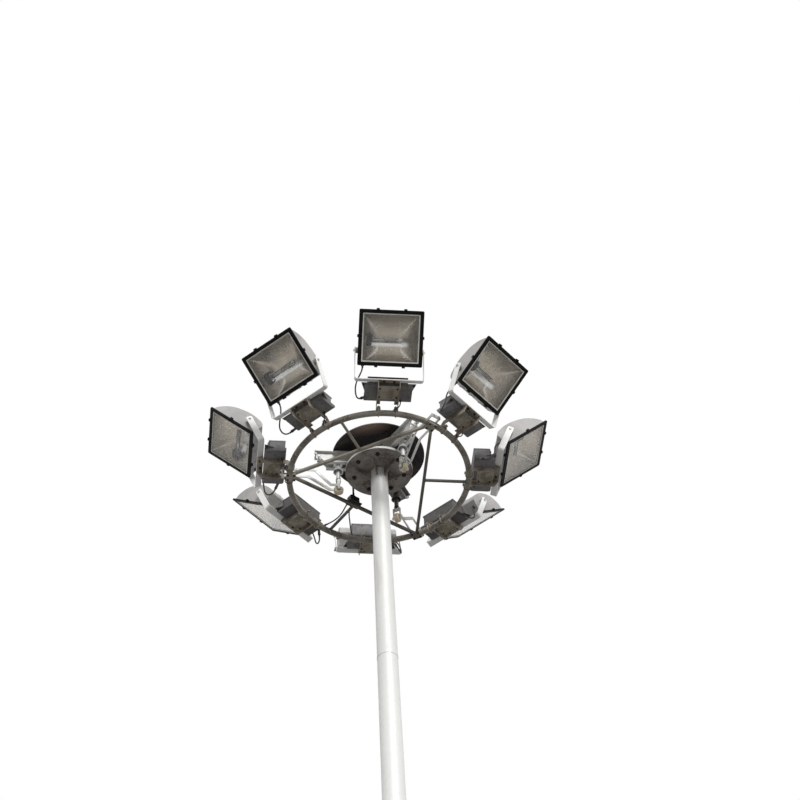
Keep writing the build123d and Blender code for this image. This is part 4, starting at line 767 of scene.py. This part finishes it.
# Yokes. White-painted steel straps bent to a U, bolted to the bracket's seat and, with a
# washer and a hexagon bolt, to each end of the floodlight.
PIVOT_R, PIVOT_Z, YOKE_FACE, PIVOT_BOLT_D = 1.168, RING_Z + 0.392, 0.303, 0.012
yoke_white = coat("yoke_white", (0.9, 0.9, 0.88), (0.84, 0.83, 0.8), (0.62, 0.56, 0.48), 0.42,
                  patch_scale=6.0, grain_scale=60.0, patch_share=(0.5, 0.7), dirt_share=(0.64, 0.8))
painted("yokes", yoke_white)
pivots = bolts_aside([(PIVOT_R, PIVOT_Z)], YOKE_FACE, LAMP_ANGLES, PIVOT_BOLT_D, 0.1)
made("pivot_bolts", pivots, bolt_zinc, "carriage")

# Floodlights. A pressed aluminium housing curved at the back, a black front frame held by six
# toggle clips, a thin bezel and a pale gasket round the glass, a hipped reflector of hammered
# aluminium with painted highlights and painted shade, and a tubular lamp in a porcelain holder
# behind a black collar that stands in for the shade in the recess round the holder.
FACE_R, FACE_Z, FACE_TILT = 1.327, RING_Z + 0.388, math.radians(50.5)
GLASS_HALF_W, GLASS_HALF_H, GLASS_FRONT = 0.2595, 0.222, -0.0012
BEZEL = [(0.001, 0.0004), (-0.009, 0.0004), (-0.01, 0.0014), (-0.01, 0.004), (-0.008, 0.005),
         (0.001, 0.005)]
LIP = [(-0.009, 0.0002), (-0.02, 0.0002), (-0.02, 0.0016), (-0.018, 0.003), (-0.009, 0.0034)]
CLIPS = [(-0.12, -0.245), (0.12, -0.245), (-0.12, 0.245), (0.12, 0.245), (-0.2825, 0.01),
         (0.2825, 0.01)]
CLIP_T, CLIP_SCREW_D = 0.009, 0.005
BOWL_HALF_H, BOWL_HALF_W, MOUTH_D, BOWL_D, FOLD_X, END_FLAT = 0.212, 0.246, 0.009, 0.165, -0.06, 0.092
ROOF_MID, SILL_MID, END_MID = (0.132, 0.112), (-0.178, 0.118), (0.188, 0.108)
LAMP_X, LAMP_D, WIRE_SIDE, WIRE_R, WIRE_ENDS = -0.025, 0.088, 0.01, 0.0024, (-0.075, 0.16)
ENVELOPE = [(0, -0.113), (0.01, -0.112), (0.018, -0.105), (0.0225, -0.092), (0.0225, 0.15),
            (0.018, 0.165), (0.018, 0.172)]
ARC_TUBE = [(0, -0.06), (0.0055, -0.058), (0.0055, 0.05), (0, 0.052)]
COLLAR = [(0.048, 0.163), (0.054, 0.163), (0.054, 0.205), (0.048, 0.205)]
HOLDER = [(0, 0.166), (0.021, 0.166), (0.0215, 0.17), (0.029, 0.172), (0.03, 0.178), (0.03, 0.235),
          (0, 0.235)]
housing_grey = coat("housing_grey", (0.43, 0.415, 0.405), (0.34, 0.33, 0.32), (0.22, 0.2, 0.18), 0.45,
                    patch_scale=5.0, grain_scale=42.0, dirt_share=(0.62, 0.92), specular=0.3)
frame_black = coat("frame_black", (0.006, 0.006, 0.006), (0.012, 0.0115, 0.011), (0.035, 0.032, 0.028),
                   0.55, patch_scale=9.0, grain_scale=90.0, dirt_share=(0.62, 0.85), specular=0.06)
gasket = coat("gasket_silicone", (0.8, 0.78, 0.71), (0.68, 0.66, 0.59), (0.46, 0.43, 0.36),
              patch_scale=16.0, grain_scale=160.0)
porcelain = coat("lampholder_porcelain", (0.3, 0.29, 0.27), (0.24, 0.23, 0.21), (0.17, 0.15, 0.13), 0.35,
                 patch_scale=30.0, grain_scale=60.0, relief=0.0001)
lamp_metal = coat("lamp_metal", (0.014, 0.013, 0.012), (0.04, 0.034, 0.028), (0.1, 0.085, 0.06), 0.4,
                  patch_scale=60.0, grain_scale=300.0, specular=0.2)


def on_front(points, degrees):
    """Points given as distance round the mast, height up the front and depth behind it, placed
    on the tilted front of the floodlight at an angle round the mast."""
    points = np.asarray(points, float)
    t, x, d = points[..., 0], points[..., 1], points[..., 2]
    r = FACE_R + math.sin(FACE_TILT) * x - math.cos(FACE_TILT) * d
    z = FACE_Z + math.cos(FACE_TILT) * x + math.sin(FACE_TILT) * d
    return turned(np.stack([r, t, z], -1), degrees)


def glazing(name, smear):
    """Clear glass with faint smears in its roughness."""
    material, tree, shader, place = new_finish(name, 0.02)
    rough = spread(tree, cloud(tree, place, 6.0, 6.0), 0.45, 0.75, 0.0, smear)
    wired(tree, shader, {"Transmission Weight": 1.0, "IOR": 1.45, "Roughness": rough})
    return material


def arc_depth(x, first, middle, last):
    """Depth of a circular arc through three points of (place, depth), at each place."""
    (ax, ad), (bx, bd), (cx, cd) = first, middle, last
    twice = 2 * (ax * (bd - cd) + bx * (cd - ad) + cx * (ad - bd))
    sums = ax * ax + ad * ad, bx * bx + bd * bd, cx * cx + cd * cd
    mid = (sums[0] * (bd - cd) + sums[1] * (cd - ad) + sums[2] * (ad - bd)) / twice
    deep = (sums[0] * (cx - bx) + sums[1] * (ax - cx) + sums[2] * (bx - ax)) / twice
    return deep + np.sqrt(np.maximum((ax - mid) ** 2 + (ad - deep) ** 2 - (x - mid) ** 2, 0))


def reflector_shape(rows=85, columns=97, power=14.0):
    """Hipped bowl: at each place of the mouth, the lesser depth of the long trough's two arcs
    and of the two ends' arcs, rounded into each other by a fourteenth-power mean. It carries a
    painted highlight where trough and ends meet and along the trough's fold, and painted shade on
    the ends and as a painted dark reflection of the lampholder beside it, each a bell curve of the
    distance."""
    x = BOWL_HALF_H * np.sin(np.linspace(-np.pi / 2, np.pi / 2, rows))[:, None]
    t = BOWL_HALF_W * np.sin(np.linspace(-np.pi / 2, np.pi / 2, columns))[None]
    roof = arc_depth(x, (BOWL_HALF_H, MOUTH_D), ROOF_MID, (FOLD_X, BOWL_D))
    sill = arc_depth(x, (FOLD_X, BOWL_D), SILL_MID, (-BOWL_HALF_H, MOUTH_D))
    end = arc_depth(np.abs(t), (BOWL_HALF_W, MOUTH_D), END_MID, (END_FLAT, BOWL_D))
    trough, end = np.where(x > FOLD_X, roof, sill), np.where(np.abs(t) < END_FLAT, BOWL_D, end)
    depth = (np.maximum(trough, 0.005) ** -power + np.maximum(end, 0.005) ** -power) ** (-1 / power)
    # Painted highlight along the hips and the trough's fold; painted shade on the ends and as a dark
    # reflection of the lampholder.
    hip = np.exp(-((trough - end) / 0.005) ** 2) * (np.abs(t) > 0.1) * np.where(x < FOLD_X, 0.5, 0.08)
    fold = np.exp(-((x + 0.056) / 0.022) ** 4) * np.clip((0.19 - np.abs(t + 0.015)) / 0.03, 0, 1)
    painted_holder_reflection = np.exp(-((t + 0.155) / 0.024) ** 2 - ((x + 0.02) / 0.1) ** 2)
    shade = 0.28 * np.clip((trough - end) / 0.02, 0, 1) + 0.7 * painted_holder_reflection * (1 - fold)
    bowl = np.stack([t + 0 * x, x + 0 * t, depth], -1)
    return bowl, np.clip(hip + fold, 0, 1), np.clip(shade, 0, 1)


def hammered(name):
    """Hammered aluminium, dull in the trough, its greys mixed by the surface's own painted highlight
    and painted shade values: light where it folds and where trough and ends meet, darker on the ends
    and beside the lampholder, over small round dents."""
    material, tree, shader, place = new_finish(name, 0.3, 1.0)
    darkening = spread(tree, cloud(tree, place, 7.0, 5.0), 0.4, 0.66)
    tone = blended(tree, darkening, (0.52, 0.465, 0.38), (0.42, 0.36, 0.27))
    # Painted shade darkens the greys and the painted highlight lightens them.
    for value, colour in (("shade", (0.09, 0.085, 0.08)), ("painted_highlight", (0.98, 0.98, 0.97))):
        own = added(tree, "Attribute", {}, attribute_name=value)["Fac"]
        tone = blended(tree, own, tone, colour)
    dents = added(tree, "TexVoronoi", {"Vector": place, "Scale": 110.0})["Distance"]
    rough = spread(tree, cloud(tree, place, 30.0), 0.3, 0.7, 0.24, 0.4)
    surfaced(tree, shader, tone, rough, dents, 0.0012)
    return material


def surround(section):
    """Frame lying on the glass: a section of (out from the glass's edge, up off the glass)
    carried round the glass's four corners."""
    corners = np.array([(-1, -1), (1, -1), (1, 1), (-1, 1)])
    out, off = np.array(section).T
    flat = corners[:, None] * (np.array([GLASS_HALF_W, GLASS_HALF_H]) + out[:, None])
    return np.concatenate([flat, (GLASS_FRONT - off[:, None]) + 0 * flat[..., :1]], -1)


front_glass, lamp_glass = glazing("front_glass", 0.06), glazing("lamp_glass", 0.03)
hammered_aluminium = hammered("hammered_aluminium")
bowl, painted_highlight, shade = reflector_shape()
for k, degrees in enumerate(LAMP_ANGLES, 1):
    body = f"floodlight_{k}"
    painted(f"housing_{k}", housing_grey)
    painted(f"front_frame_{k}", frame_black)
    painted(f"front_glass_{k}", front_glass)
    reflector = made(f"reflector_{k}", [skin(on_front(bowl, degrees), (False, False))],
                     hammered_aluminium, merge=False)
    # Each reflector carries the painted highlight and painted shade as values of its points.
    for value, amounts in (("painted_highlight", painted_highlight), ("shade", shade)):
        own = reflector.data.attributes.new(value, "FLOAT", "POINT")
        own.data.foreach_set("value", amounts.ravel().astype(np.float32))
    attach(reflector, body)
    axis = turned((0, -1, 0), degrees)
    centre = on_front((0, LAMP_X, LAMP_D), degrees)
    # The black collar stands in for the shade in the recess round the holder.
    inside = [skin(revolved(COLLAR, centre, axis, 40), (True, True)),
              skin(revolved(HOLDER, centre, axis, 28)), skin(revolved(ARC_TUBE, centre, axis, 12))]
    for x in (LAMP_X - WIRE_SIDE, LAMP_X + WIRE_SIDE):
        wire = on_front(straight(*[(-t, x, LAMP_D) for t in WIRE_ENDS], 0.02), degrees)
        inside.append(skin(carried(circle(WIRE_R, 8), wire, turned((1, 0, 1), degrees))))
    made(f"lampholder_{k}", inside, [frame_black, porcelain, porcelain, lamp_metal, lamp_metal],
         body)
    made(f"lamp_{k}", [skin(revolved(ENVELOPE, centre, axis, 28))], lamp_glass, body)
    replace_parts(reflector, f"optics_{k}")
    frames = [skin(on_front(surround(section), degrees), (True, True)) for section in (BEZEL, LIP)]
    made(f"glass_surround_{k}", frames, [frame_black, gasket], body)
    outwards = on_front((0, 0, -1), degrees) - on_front((0, 0, 0), degrees)
    screws = bolts(on_front([(t, x, -CLIP_T) for t, x in CLIPS], degrees), outwards, CLIP_SCREW_D, 0.0)
    made(f"clip_screws_{k}", screws, frame_black, body)
    made(f"lead_gland_{k}", gland(LEAD_ROUTE, LAMP_NUT_R, LEAD_D, degrees), gland_black,
         body)
